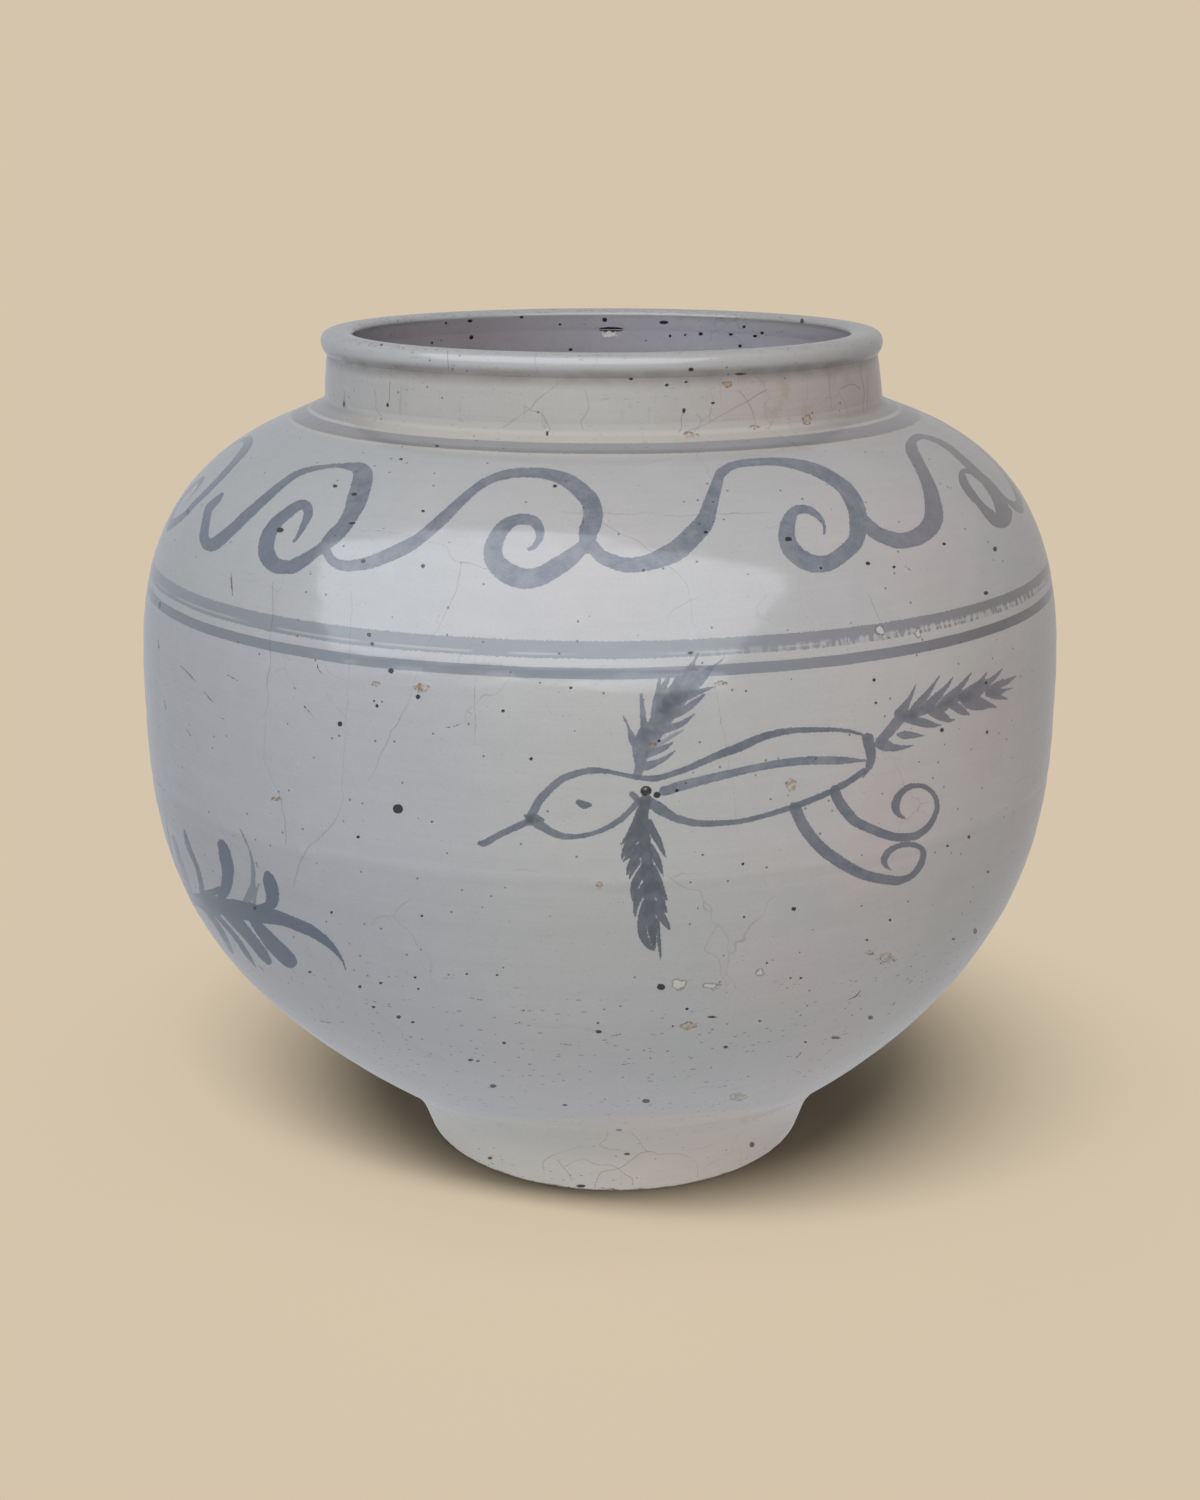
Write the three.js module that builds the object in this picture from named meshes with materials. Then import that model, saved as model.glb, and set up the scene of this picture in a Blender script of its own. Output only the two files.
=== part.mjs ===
import * as THREE from 'three';

// A wheel-thrown storage jar, made of separately thrown clay sections luted together
// on level seams: foot ring, lower bowl, upper bowl, neck ring, neck collar, rolled lip.
// Millimetres, +Z up. The origin is on the resting plane, under the belly's centre line,
// and the jar's painted front looks along -Y.

// foot ring
const FOOT_RADIUS = 83.2;
const FOOT_HEIGHT = 10;
const FOOT_SPREAD = 3.6;
const FOOT_WIDTH = 17;
const FOOT_TAPER = 2;
const FOOT_CHAMFER = 1.2;

// body outline: a hollow flare over the foot, then the belly's swell up to the shoulder
const FLARE_CORNER_OUT = 5.9;
const FLARE_CORNER_UP = 15.3;
const FLARE_OUT = 24.3;
const FLARE_UP = 30;
const BELLY_RADIUS = 190;
const LOWER_RISE = 180;
const UPPER_RISE = 121.8;
const LOWER_SWELL = 81;
const BELLY_SWELL_DOWN = 59;
const BELLY_SWELL_UP = 44;
const SHOULDER_SWELL = 65.8;
const SHOULDER_FALL_DEG = 20.8;

// walls
const WALL = 9;
const FLOOR = 15;
const FLOOR_FILLET = 16;
const MOUTH_LAND = 4;

// the bowls meet on a level seam a little under the belly's widest line
const SEAM_DROP = 15;

// neck and lip
const NECK_RADIUS = 113.9;
const NECK_TAPER = 2.5;
const NECK_HEIGHT = 20;
const NECK_WALL = 9.4;
const NECK_RING_SPREAD = 15.8;
const NECK_RING_HEIGHT = 5.2;
const NECK_RING_LAND = 3;
const NECK_RING_BEAD = 0.4;
const LIP_OVERHANG = 2.1;
const LIP_WIDTH = 12.9;
const LIP_HEIGHT = 9.4;
const LIP_COVE_UP = 2.2;
const LIP_FULLEST_UP = 4.8;
const LIP_CREST_IN = 5.6;
const LIP_EDGE_DOWN = 1;

// the hand-thrown centre line leans to the right of the belly's by these amounts
const FOOT_LEAN = 6.4;
const FOOT_LEAN_REACH = 115;
const SHOULDER_LEAN = 2.5;
const SHOULDER_LEAN_REACH = 75;
const NECK_LEAN = 1.5;
const LIP_LEAN = 0.5;

// fineness of the turned surfaces
const AROUND = 64;
const FLARE_STEPS = 3;
const LOWER_STEPS = 12;
const UPPER_STEPS = 13;
const FILLET_STEPS = 3;
const LIP_STEPS = 4;
const SMALLEST_STEP = 0.8;

// levels and radii that follow from the sizes above
const footTopRadius = FOOT_RADIUS + FOOT_SPREAD;
const floorLevel = FOOT_HEIGHT + FLOOR;
const bellyLevel = FOOT_HEIGHT + LOWER_RISE;
const seamLevel = bellyLevel - SEAM_DROP;
const shoulderLevel = bellyLevel + UPPER_RISE;
const shoulderRadius = NECK_RADIUS + NECK_RING_SPREAD;
const neckBore = NECK_RADIUS - NECK_WALL;
const neckLevel = shoulderLevel + NECK_RING_HEIGHT;
const neckTopRadius = NECK_RADIUS - NECK_TAPER;
const lipLevel = neckLevel + NECK_HEIGHT;
const lipRadius = neckTopRadius + LIP_OVERHANG;
const topLevel = lipLevel + LIP_HEIGHT;
const shoulderLeanStart = shoulderLevel - SHOULDER_LEAN_REACH;

const point = (radius, level) => new THREE.Vector2(radius, level);

function outline() {
  const start = point(footTopRadius, FOOT_HEIGHT);
  const corner = point(footTopRadius + FLARE_CORNER_OUT, FOOT_HEIGHT + FLARE_CORNER_UP);
  const flareEnd = point(footTopRadius + FLARE_OUT, FOOT_HEIGHT + FLARE_UP);
  const outward = flareEnd.clone().sub(corner).normalize();
  const belly = point(BELLY_RADIUS, bellyLevel);
  const shoulder = point(shoulderRadius, shoulderLevel);
  const fall = THREE.MathUtils.degToRad(SHOULDER_FALL_DEG);
  const flare = new THREE.QuadraticBezierCurve(start, corner, flareEnd);
  const lower = new THREE.CubicBezierCurve(
    flareEnd,
    flareEnd.clone().addScaledVector(outward, LOWER_SWELL),
    point(BELLY_RADIUS, bellyLevel - BELLY_SWELL_DOWN),
    belly,
  );
  const upper = new THREE.CubicBezierCurve(
    belly,
    point(BELLY_RADIUS, bellyLevel + BELLY_SWELL_UP),
    point(
      shoulderRadius + SHOULDER_SWELL * Math.cos(fall),
      shoulderLevel - SHOULDER_SWELL * Math.sin(fall),
    ),
    shoulder,
  );
  return [
    ...flare.getPoints(FLARE_STEPS).slice(0, -1),
    ...lower.getPoints(LOWER_STEPS).slice(0, -1),
    ...upper.getPoints(UPPER_STEPS),
  ];
}

// the same line moved square to itself into the clay by the wall's thickness
function inset(line, depth) {
  return line.map((here, i) => {
    const before = line[Math.max(i - 1, 0)];
    const after = line[Math.min(i + 1, line.length - 1)];
    const along = after.clone().sub(before).normalize();
    return point(here.x - depth * along.y, here.y + depth * along.x);
  });
}

function radiusAt(line, level) {
  const next = line.findIndex((p) => p.y >= level);
  if (next < 1) return line[next === 0 ? 0 : line.length - 1].x;
  const [low, high] = [line[next - 1], line[next]];
  return THREE.MathUtils.mapLinear(level, low.y, high.y, low.x, high.x);
}

// the part of a line between two levels, with a point exactly on each of them
function between(line, low, high) {
  const middle = line.filter((p) => p.y > low + SMALLEST_STEP && p.y < high - SMALLEST_STEP);
  return [point(radiusAt(line, low), low), ...middle, point(radiusAt(line, high), high)];
}

// how far the centre line stands to the right of the belly's, at a level
function lean(level) {
  const { smoothstep, mapLinear } = THREE.MathUtils;
  if (level < FOOT_LEAN_REACH) return FOOT_LEAN * (1 - smoothstep(level, 0, FOOT_LEAN_REACH));
  if (level < shoulderLeanStart) return 0;
  if (level < shoulderLevel) return SHOULDER_LEAN * ((level - shoulderLeanStart) / SHOULDER_LEAN_REACH) ** 2;
  if (level < neckLevel) return mapLinear(level, shoulderLevel, neckLevel, SHOULDER_LEAN, NECK_LEAN);
  return mapLinear(level, neckLevel, topLevel, NECK_LEAN, LIP_LEAN);
}

// turns a profile about the wheel's axis, then leans each level by the same rule
function turned(name, profile, material) {
  const geometry = new THREE.LatheGeometry(profile, AROUND);
  geometry.rotateX(Math.PI / 2);
  const place = geometry.attributes.position;
  for (let i = 0; i < place.count; i += 1) {
    place.setX(i, place.getX(i) + lean(place.getZ(i)));
  }
  geometry.computeVertexNormals();
  const mesh = new THREE.Mesh(geometry, material);
  mesh.name = name;
  return mesh;
}

const closed = (profile) => [...profile, profile[0].clone()];

const glaze = (color) => new THREE.MeshStandardMaterial({ color, roughness: 0.22, metalness: 0 });
const footGlaze = glaze(0xb9ad9c);
const lowerGlaze = glaze(0xc6c6c4);
const upperGlaze = glaze(0xcfd1d0);
const neckGlaze = glaze(0xc2c0b8);
const paintedGlaze = glaze(0x8b919b);

function footRing() {
  const innerRadius = FOOT_RADIUS - FOOT_WIDTH;
  return turned('foot_ring', closed([
    point(innerRadius, 0),
    point(FOOT_RADIUS - FOOT_CHAMFER, 0),
    point(FOOT_RADIUS, FOOT_CHAMFER),
    point(footTopRadius, FOOT_HEIGHT),
    point(innerRadius - FOOT_TAPER, FOOT_HEIGHT),
    point(innerRadius - FOOT_TAPER, FOOT_HEIGHT - FOOT_TAPER),
    point(innerRadius, FOOT_CHAMFER),
  ]), footGlaze);
}

function lowerBowl(outer, inner) {
  const filletTop = floorLevel + FLOOR_FILLET;
  const wall = between(inner, filletTop, seamLevel);
  const fillet = new THREE.QuadraticBezierCurve(
    wall[0],
    point(radiusAt(inner, floorLevel), floorLevel),
    point(radiusAt(inner, floorLevel) - FLOOR_FILLET, floorLevel),
  );
  return turned('lower_bowl', [
    point(0, FOOT_HEIGHT),
    ...between(outer, FOOT_HEIGHT, seamLevel),
    ...wall.slice(1).reverse(),
    ...fillet.getPoints(FILLET_STEPS),
    point(0, floorLevel),
  ], lowerGlaze);
}

function upperBowl(outer, inner) {
  return turned('upper_bowl', closed([
    ...between(outer, seamLevel, shoulderLevel),
    point(neckBore, shoulderLevel),
    point(neckBore, shoulderLevel - MOUTH_LAND),
    ...between(inner, seamLevel, inner.at(-1).y).reverse(),
  ]), upperGlaze);
}

// the small raised ledge that hides the lute between shoulder and neck
function neckRing() {
  const crest = NECK_RADIUS + NECK_RING_LAND;
  return turned('neck_ring', closed([
    point(shoulderRadius, shoulderLevel),
    point((shoulderRadius + crest) / 2, (shoulderLevel + neckLevel) / 2 + NECK_RING_BEAD / 2),
    point(crest + NECK_RING_BEAD, neckLevel - NECK_RING_BEAD / 2),
    point(crest, neckLevel),
    point(neckBore, neckLevel),
    point(neckBore, shoulderLevel),
  ]), paintedGlaze);
}

function neckCollar() {
  const boreTop = neckTopRadius - NECK_WALL;
  return turned('neck_collar', closed([
    point(NECK_RADIUS, neckLevel),
    point(neckTopRadius, lipLevel),
    point(boreTop, lipLevel),
    point(neckBore, neckLevel),
  ]), neckGlaze);
}

// the lip is folded outwards: a cove under it, a full round outside and a nearly flat top
function rolledLip() {
  const innerRadius = lipRadius - LIP_WIDTH;
  const fullest = point(lipRadius, lipLevel + LIP_FULLEST_UP);
  const crest = point(lipRadius - LIP_CREST_IN, topLevel);
  const innerEdge = point(innerRadius, topLevel - LIP_EDGE_DOWN);
  const cove = new THREE.QuadraticBezierCurve(
    point(neckTopRadius, lipLevel),
    point(lipRadius, lipLevel + LIP_COVE_UP),
    fullest,
  );
  const round = new THREE.QuadraticBezierCurve(fullest, point(lipRadius, topLevel), crest);
  const flat = new THREE.QuadraticBezierCurve(crest, point(innerRadius, topLevel), innerEdge);
  return turned('rolled_lip', closed([
    ...cove.getPoints(LIP_STEPS).slice(0, -1),
    ...round.getPoints(LIP_STEPS).slice(0, -1),
    ...flat.getPoints(LIP_STEPS),
    point(neckTopRadius - NECK_WALL, lipLevel),
  ]), neckGlaze);
}

const outer = outline();
const inner = inset(outer, WALL);

const jar = new THREE.Group();
jar.add(
  footRing(),
  lowerBowl(outer, inner),
  upperBowl(outer, inner),
  neckRing(),
  neckCollar(),
  rolledLip(),
);

export default jar;
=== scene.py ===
import math

import bpy
import numpy as np
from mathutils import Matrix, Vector


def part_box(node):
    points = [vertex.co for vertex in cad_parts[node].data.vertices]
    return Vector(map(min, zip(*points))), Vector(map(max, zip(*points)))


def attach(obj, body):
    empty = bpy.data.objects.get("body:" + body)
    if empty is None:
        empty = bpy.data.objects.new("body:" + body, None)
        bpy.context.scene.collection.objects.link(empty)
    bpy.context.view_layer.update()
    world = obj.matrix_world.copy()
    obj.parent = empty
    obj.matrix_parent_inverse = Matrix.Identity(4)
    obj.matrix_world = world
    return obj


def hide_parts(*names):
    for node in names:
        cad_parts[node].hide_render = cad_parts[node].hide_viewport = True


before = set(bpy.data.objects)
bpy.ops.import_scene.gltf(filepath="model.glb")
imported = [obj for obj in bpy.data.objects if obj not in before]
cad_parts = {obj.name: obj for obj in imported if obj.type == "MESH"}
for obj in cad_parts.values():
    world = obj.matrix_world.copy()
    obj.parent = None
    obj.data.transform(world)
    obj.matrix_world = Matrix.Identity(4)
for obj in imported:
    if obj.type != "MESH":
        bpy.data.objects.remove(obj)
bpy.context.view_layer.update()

# A wheel-thrown storage jar with blue-grey underglaze painting: a band of running scrolls on the
# shoulder, two lines under it, and a bird and a leafy spray on the belly.
# Lengths are millimetres until a mesh is made. Angles run round the jar in degrees, 0 at the front
# and growing to the right, and the painted front looks along -Y.
MM = 0.001


def level_of(node, corner):
    """The lowest (0) or highest (1) level of a CAD node, in millimetres."""
    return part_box(node)[corner].z / MM


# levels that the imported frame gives
FOOT_TOP = level_of("foot_ring", 1)
SEAM = level_of("lower_bowl", 1)
SHOULDER = level_of("upper_bowl", 1)
NECK = level_of("neck_ring", 1)
LIP = level_of("neck_collar", 1)
TOP = level_of("rolled_lip", 1)
BELLY_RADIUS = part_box("upper_bowl")[1].y / MM

# the part's own sizes, for the same outline at a finer step
FOOT_RADIUS = 83.2
FOOT_SPREAD = 3.6
FOOT_WIDTH = 17
FOOT_TAPER = 2
FOOT_CHAMFER = 1.2
FLARE_CORNER_OUT = 5.9
FLARE_CORNER_UP = 15.3
FLARE_OUT = 24.3
FLARE_UP = 30
SEAM_DROP = 15
BELLY_LEVEL = SEAM + SEAM_DROP
LOWER_SWELL = 81
BELLY_SWELL_DOWN = 59
BELLY_SWELL_UP = 44
SHOULDER_SWELL = 65.8
SHOULDER_FALL_DEG = 20.8
WALL = 9
FLOOR = 15
FLOOR_FILLET = 16
MOUTH_LAND = 4
NECK_RADIUS = 113.9
NECK_TAPER = 2.5
NECK_WALL = 9.4
NECK_RING_SPREAD = 15.8
NECK_RING_LAND = 3
LIP_OVERHANG = 2.1
LIP_WIDTH = 12.9
LIP_COVE_UP = 2.2
LIP_FULLEST_UP = 4.8
LIP_CREST_IN = 5.6
LIP_EDGE_DOWN = 1
FOOT_LEAN = 6.4
FOOT_LEAN_REACH = 115
SHOULDER_LEAN = 2.5
SHOULDER_LEAN_REACH = 75
NECK_LEAN = 1.5
LIP_LEAN = 0.5

FOOT_TOP_RADIUS = FOOT_RADIUS + FOOT_SPREAD
FOOT_INNER_RADIUS = FOOT_RADIUS - FOOT_WIDTH
SHOULDER_RADIUS = NECK_RADIUS + NECK_RING_SPREAD
NECK_BORE = NECK_RADIUS - NECK_WALL
NECK_TOP_RADIUS = NECK_RADIUS - NECK_TAPER
LIP_RADIUS = NECK_TOP_RADIUS + LIP_OVERHANG

# the camera that the photograph was taken with, found from the jar's own outline
CAMERA_BACK = 819.1
CAMERA_UP = 409
CAMERA_PITCH = math.radians(16.4725)
FOCAL_PX = 1975
PHOTO_WIDTH = 1200
PHOTO_HEIGHT = 1500
SENSOR_MM = 36

# fineness of the outlines, in points to a curve, and of the cells that the sections are cut into
CURVE_POINTS = 30
SWELL_POINTS = 140
EDGE_POINTS = 14
SMALLEST_STEP = 0.2
AROUND = 324
OUTSIDE_STEP = 3.7
INSIDE_STEP = 9
ROUND_STEP = 0.8
EDGE_STEP = 2
JOINT_STEP = 6

# how often a cell may be halved where the paint has an edge, and how often behind the front
HALVINGS = 3
BACK_HALVINGS = 2
FRONT_LIMIT = 20
EDGE_MARGIN = 0.05
FINE = 2**HALVINGS

# small numbers that stand for nothing in the object
ON_AXIS = 0.01
JOINT_LEAN = 0.02
SLOPE_STEP = 1e-3
NO_SIZE = 1e-6

# strips that the sections are unrolled into, and how much room a hidden face gets there
STRIPS = 3
STRIP_GAP = 0.005
HIDDEN_SHARE = 0.35

# the potter's hand is felt away from the wheel's axis, fully beyond this radius
HAND_REACH = 60
# throwing rings: levels from ring to ring, how far one stands out, start and drift round the jar
RINGS = [(23, 0.05, 0.4, 1.3), (13.5, 0.035, 2.1, 0.7), (8.2, 0.022, 4.0, 2.6), (5.1, 0.012, 1.1, 5.2)]
RING_WANDER = 0.6
# the uneven wall: waves round the jar, how far one stands out, start and levels that turn it
WAVES = [(2, 0.08, 0.9, 90), (3, 0.048, 2.2, -60)]
WAVES_BEGIN = (20, 90)
# the ridge of the luted seam with the groove under it, strongest at the crease
SEAM_RIDGE = 0.22
RIDGE_UP = 1
RIDGE_HALF = 1.8
RIDGE_SWAY = 0.25
GROOVE_DOWN = 3
GROOVE_HALF = 2.4
GROOVE_SHARE = 0.8
SEAM_CREASE = 0.24
CREASE_ANGLE = math.radians(60)
CREASE_FOCUS = 20
# room that the rings need inside the belly's widest line
BELLY_ROOM = 0.27
BELLY_ROOM_REACH = 50

# the neck's waist and the soft fillet of glaze at its foot
NECK_CREST = NECK_RADIUS + NECK_RING_LAND
NECK_FILLET_OUT = 0.2
NECK_FILLET_UP = 1.1
NECK_WAIST_IN = 0.7
NECK_WAIST_UP = 4
NECK_HOLLOW_DOWN = 6
# the lip's front is thrown a little lower, and its inner edge is worn rounder than the part's
LIP_DIP = 0.9
LIP_DIP_UP = 2
LIP_EDGE_WORN = 1.6
LIP_EDGE_PULL = 0.4

# paint: how far a distance is kept, the most pixels to a millimetre, the soft edge of a stroke,
# how much of a stroke's pigment adds to what it crosses, and the levels between which it is painted
PAINT_REACH = 3.0
WIDEST_SCALE = 3.6
STROKE_EDGE = (-0.35, 0.15)
OVERLAP = 0.15
LOWEST_PAINT = 60
HIGHEST_PAINT = SHOULDER + 2
DISTANCES = ("ink", "speck", "tan", "pale", "craze")


# Painted strokes, read from the photograph: x, y and the brush's width there, in its pixels.

BEAK = [(480, 843.5, 5), (485, 843, 7), (500, 834.5, 6.5), (525, 823, 7), (530, 822, 7)]
HEAD_AND_BACK = [
    (529, 820, 9), (538, 803, 8.5), (545, 794, 8), (562, 779, 7.5), (584, 771.5, 6.5), (596, 770.5, 6.5),
    (608, 771.5, 4.5), (630, 776, 4.5), (650, 778.5, 6), (660, 777.5, 6), (684, 770, 6), (716, 756, 7.5),
    (740, 747, 9), (760, 738, 8), (780, 732.5, 7), (800, 730, 6), (840, 730, 4), (860, 734, 3),
    (863, 736, 2),
]
BODY_LINE = [
    (664, 791, 10), (672, 789, 10), (680, 786, 10), (720, 776, 8.5), (760, 767, 7.5), (800, 761, 8.5),
    (840, 760.5, 8), (860, 760.5, 3), (868, 761, 2),
]
BELLY_LINE = [
    (650, 802, 10), (660, 809, 12), (670, 815, 9), (680, 819.5, 8), (700, 823.5, 7), (730, 822.5, 5.5),
    (750, 819.5, 5), (770, 814, 5), (800, 804.5, 6.5), (830, 792, 6), (840, 786.5, 7), (850, 781, 6.5),
    (864, 771, 6),
]
RUMP = [(868, 739, 12), (871, 760, 9), (863, 777, 2)]
LOWER_HEAD = [
    (530, 820, 8), (538, 824, 9), (558, 835, 7), (578, 836.5, 5), (600, 831, 5), (620, 820, 6),
    (640, 800, 6),
]
HEAD_KNOT = [(525, 816, 3), (534, 818, 9), (543, 820, 3)]
BREAST_STUB = [(632, 794, 6), (641, 803, 7)]
EYE = [(578, 802, 5), (584, 805, 8), (590, 805, 4)]
UPPER_LEG = [
    (835, 790, 10), (838, 800, 11), (850, 816, 11), (860, 824, 10), (890, 836, 9), (910, 837, 8),
    (920, 833.5, 7.5), (928, 827, 6.5), (934, 818, 5.5), (937, 808, 5), (936, 799, 5), (931, 791, 5),
    (924, 786.5, 5), (917, 785.5, 5), (909, 787, 6), (902, 792, 6.5), (897, 799, 8), (895.5, 807, 8.5),
    (897, 812, 6.5), (902, 817, 3.5), (907, 819, 1),
]
LOWER_LEG = [
    (795, 808, 12), (804, 827, 12), (820, 847, 12), (840, 862, 12), (865, 875, 10.5), (893, 880.5, 9.5),
    (903, 879.5, 7.5), (911, 876, 6.5), (918, 869, 6.5), (922, 861, 6.5), (923.5, 853, 6), (921, 848, 5.5),
    (914, 845, 5.5), (905, 844.5, 5.5), (896, 847, 5.5), (889, 851, 6.5), (885, 857, 7), (884, 862, 6.5),
    (887, 867, 4), (891, 870, 1),
]
UP_WING = [
    [(644, 752, 13), (652, 734, 19), (675, 698, 23), (686, 684, 20), (694, 674, 12)],
    [(637, 776, 9), (640, 765, 10), (641, 750, 18), (645, 735, 16)],
    [(636, 748, 5), (632, 738, 7.5), (629, 729, 3), (625, 720, 2.5), (622, 714, 0.6)],
    [(644, 735, 9), (643.5, 720, 6.5), (641, 694.5, 3)],
    [(656, 730, 8), (655, 710, 8), (660, 677, 2)],
    [(660, 720, 10), (662, 692, 8), (669, 677, 3)],
    [(663, 712, 9), (667, 700, 9), (676, 682, 6), (678, 677, 4)],
    [(665, 712, 12), (672, 700, 12), (680, 690, 11), (690, 670, 8), (694, 662, 3.5), (698, 653, 1.5)],
    [(668, 708, 12), (687, 690, 13), (695, 684, 12), (703, 676, 10), (709, 670, 6), (717, 664, 2),
     (725, 657, 1)],
    [(668, 706, 10), (678, 700, 10), (698, 692, 6), (716, 686.5, 1)],
    [(661, 721, 6), (682, 711, 8), (698, 700, 5), (705, 694, 1)],
    [(654, 735, 8), (664, 730, 8), (681, 724, 6), (695, 714, 1)],
    [(648, 754, 8), (664, 748, 6), (672, 743, 2)],
    [(643, 767, 8), (650, 765, 8), (658, 762, 6), (667, 757, 4), (675, 751, 1)],
]
UP_WING_THIN = [[(655, 746, 6), (664, 741, 4), (672, 736, 4), (684, 730, 2)]]
DOWN_WING = [
    [(646, 800, 12), (643, 815, 11), (644, 835, 12), (648, 870, 12), (650, 910, 11), (652, 930, 9),
     (654, 948, 3)],
    [(641, 812, 10), (635, 825, 8), (621.5, 844.5, 1.5)],
    [(640, 828, 12), (632, 840, 12), (626, 850, 8), (622, 858, 2)],
    [(634, 848, 8), (628, 856, 5), (623, 862, 1)],
    [(640, 848, 10), (634, 860, 9), (629, 868, 5), (627, 875, 1.5)],
    [(638, 862, 6), (632, 872, 4), (629, 880, 1)],
    [(645, 868, 10), (638, 878, 9), (634, 888, 8), (634, 899, 5)],
    [(648, 885, 12), (640, 895, 8), (636, 905, 6), (635, 916, 2)],
    [(646, 905, 10), (642, 920, 9), (643, 935, 9), (648, 945, 6), (651, 949, 3)],
    [(652, 930, 8), (654, 942, 5), (654, 950, 2)],
    [(657, 920, 5), (660, 950, 3), (660.5, 960, 1)],
    [(650, 822, 6), (654, 833, 8), (659, 842, 7), (663, 852, 4), (667, 858.5, 1)],
    [(648, 845, 8), (653, 852, 8), (658, 862, 7), (663.5, 876, 1)],
    [(652, 868, 8), (658, 880, 8), (662, 890, 6), (667, 899.5, 2)],
    [(655, 885, 10), (664, 907, 5), (667, 913, 1)],
    [(655, 905, 10), (665, 922, 7), (669.5, 929, 2)],
]
TAIL = [
    [(880, 741, 9), (889, 732, 10), (897, 722, 11), (905, 716, 10), (930, 709, 8), (938, 707, 5),
     (952, 699, 10), (960, 697, 8), (970, 695, 8)],
    [(876, 744, 5), (884, 745, 12), (893, 747.5, 8), (902, 747.5, 5), (913, 745.5, 1)],
    [(896, 734, 1), (902, 735, 7), (908, 735, 8), (924, 735.5, 1)],
    [(908, 718, 10), (916, 721, 9), (925, 723, 9), (933, 725, 6), (941, 725, 1)],
    [(931, 712, 7), (938, 714, 11), (945, 718, 8), (950, 720, 4), (955, 719.5, 1)],
    [(948, 703, 6), (955, 706, 9), (962, 711, 8), (970, 715, 1)],
    [(962, 697, 8), (970, 702, 14), (980, 704, 13), (988, 705, 7), (997, 707.5, 1.5)],
    [(988, 694, 6), (995, 696, 7), (1008, 699, 1)],
    [(900, 714, 12), (910, 698, 4.5), (916, 684, 1)],
    [(912, 715, 10), (918, 706, 10), (930, 690, 5), (940, 675, 1)],
    [(926, 709, 10), (934, 700, 9), (947, 686, 4), (953, 677, 1)],
    [(943, 706, 12), (950, 698, 11), (957, 691, 8), (971.5, 673, 1)],
    [(965, 697, 14), (973, 690, 11), (980, 683, 6), (987, 672, 1)],
    [(975, 692, 14), (984, 685, 10), (990, 681, 6), (996, 676, 4), (1002, 669, 1)],
    [(987, 690, 4), (993, 688, 7), (1000, 684, 7), (1006, 682, 6), (1016, 676, 1)],
    [(990, 693, 9), (998, 692, 8), (1005, 690, 3), (1013, 688, 1)],
]

LEAF_STEM = [
    (195, 899, 12), (215, 905, 18), (225, 907, 17), (235, 908, 17), (245, 911, 18), (265, 915, 17),
    (285, 920, 13), (305, 928, 12), (313, 932, 11), (328, 943, 8), (341, 958, 3), (346, 970, 1),
]
LEAVES = [
    [(184, 829, 1), (186, 838, 4), (189, 848, 4.5), (198, 870, 4), (202, 890, 5), (203, 897, 7)],
    [(221, 843, 7), (224, 850, 11), (226, 860, 12.5), (228, 870, 12), (226, 888, 11), (222, 896, 9)],
    [(207, 893, 6), (214, 892, 7), (220, 890, 8)],
    [(267, 874, 6), (269, 880, 12), (271, 887, 14), (272.5, 894, 13), (272, 901, 13), (268, 907, 11),
     (258, 909, 8)],
    [(252, 919, 8), (272, 943, 15), (287, 958, 15), (291, 962, 12)],
    [(224, 910, 8), (233, 918, 12), (249, 936, 11), (263, 954, 10), (269, 962, 6)],
    [(210, 908, 5), (234, 935, 4.5), (247, 954, 5), (256, 967, 1)],
    [(203, 906, 5), (218, 926, 5), (229, 946, 4.5), (233, 953, 1.5)],
]
THIN_LEAVES = [
    [(173, 836, 3), (183, 870, 5), (193, 897, 3)],
    [(240, 829, 1), (244, 837, 2), (250, 852, 1.5), (253, 868, 4), (253, 883, 5), (252, 890, 8),
     (245, 905, 8)],
    [(256, 862, 1), (257, 865, 1.5), (258, 868, 1)],
    [(259, 884, 1.5), (256, 892, 2.5), (254, 903, 4)],
    [(259, 966, 1.5), (264, 971, 1)],
    [(325, 936, 4), (334, 944, 1)],
]

# The spray's part that the photograph doesn't reach: degrees round the jar, level and width in mm.
HIDDEN_STEM = [
    (-61, 131, 5), (-66, 130.5, 7), (-72, 130.5, 7), (-79, 133, 6), (-85, 137, 4), (-90, 142, 1),
]
HIDDEN_LEAVES = [
    [(-66, 161, 1), (-67, 151, 4), (-67.5, 142, 5), (-68.5, 134, 6)],
    [(-73, 164, 1), (-74, 154, 5), (-74.5, 144, 6), (-75.5, 135, 6)],
    [(-80, 161, 1), (-80.5, 152, 4), (-81, 144, 5), (-82, 137, 5)],
    [(-67, 128, 5), (-70, 119, 6), (-73, 109, 5), (-75, 100, 1)],
    [(-73, 128, 5), (-76, 120, 6), (-79, 111, 5), (-81, 103, 1)],
    [(-79, 130, 5), (-82, 123, 5), (-85, 116, 4), (-87, 110, 1)],
]

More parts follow.
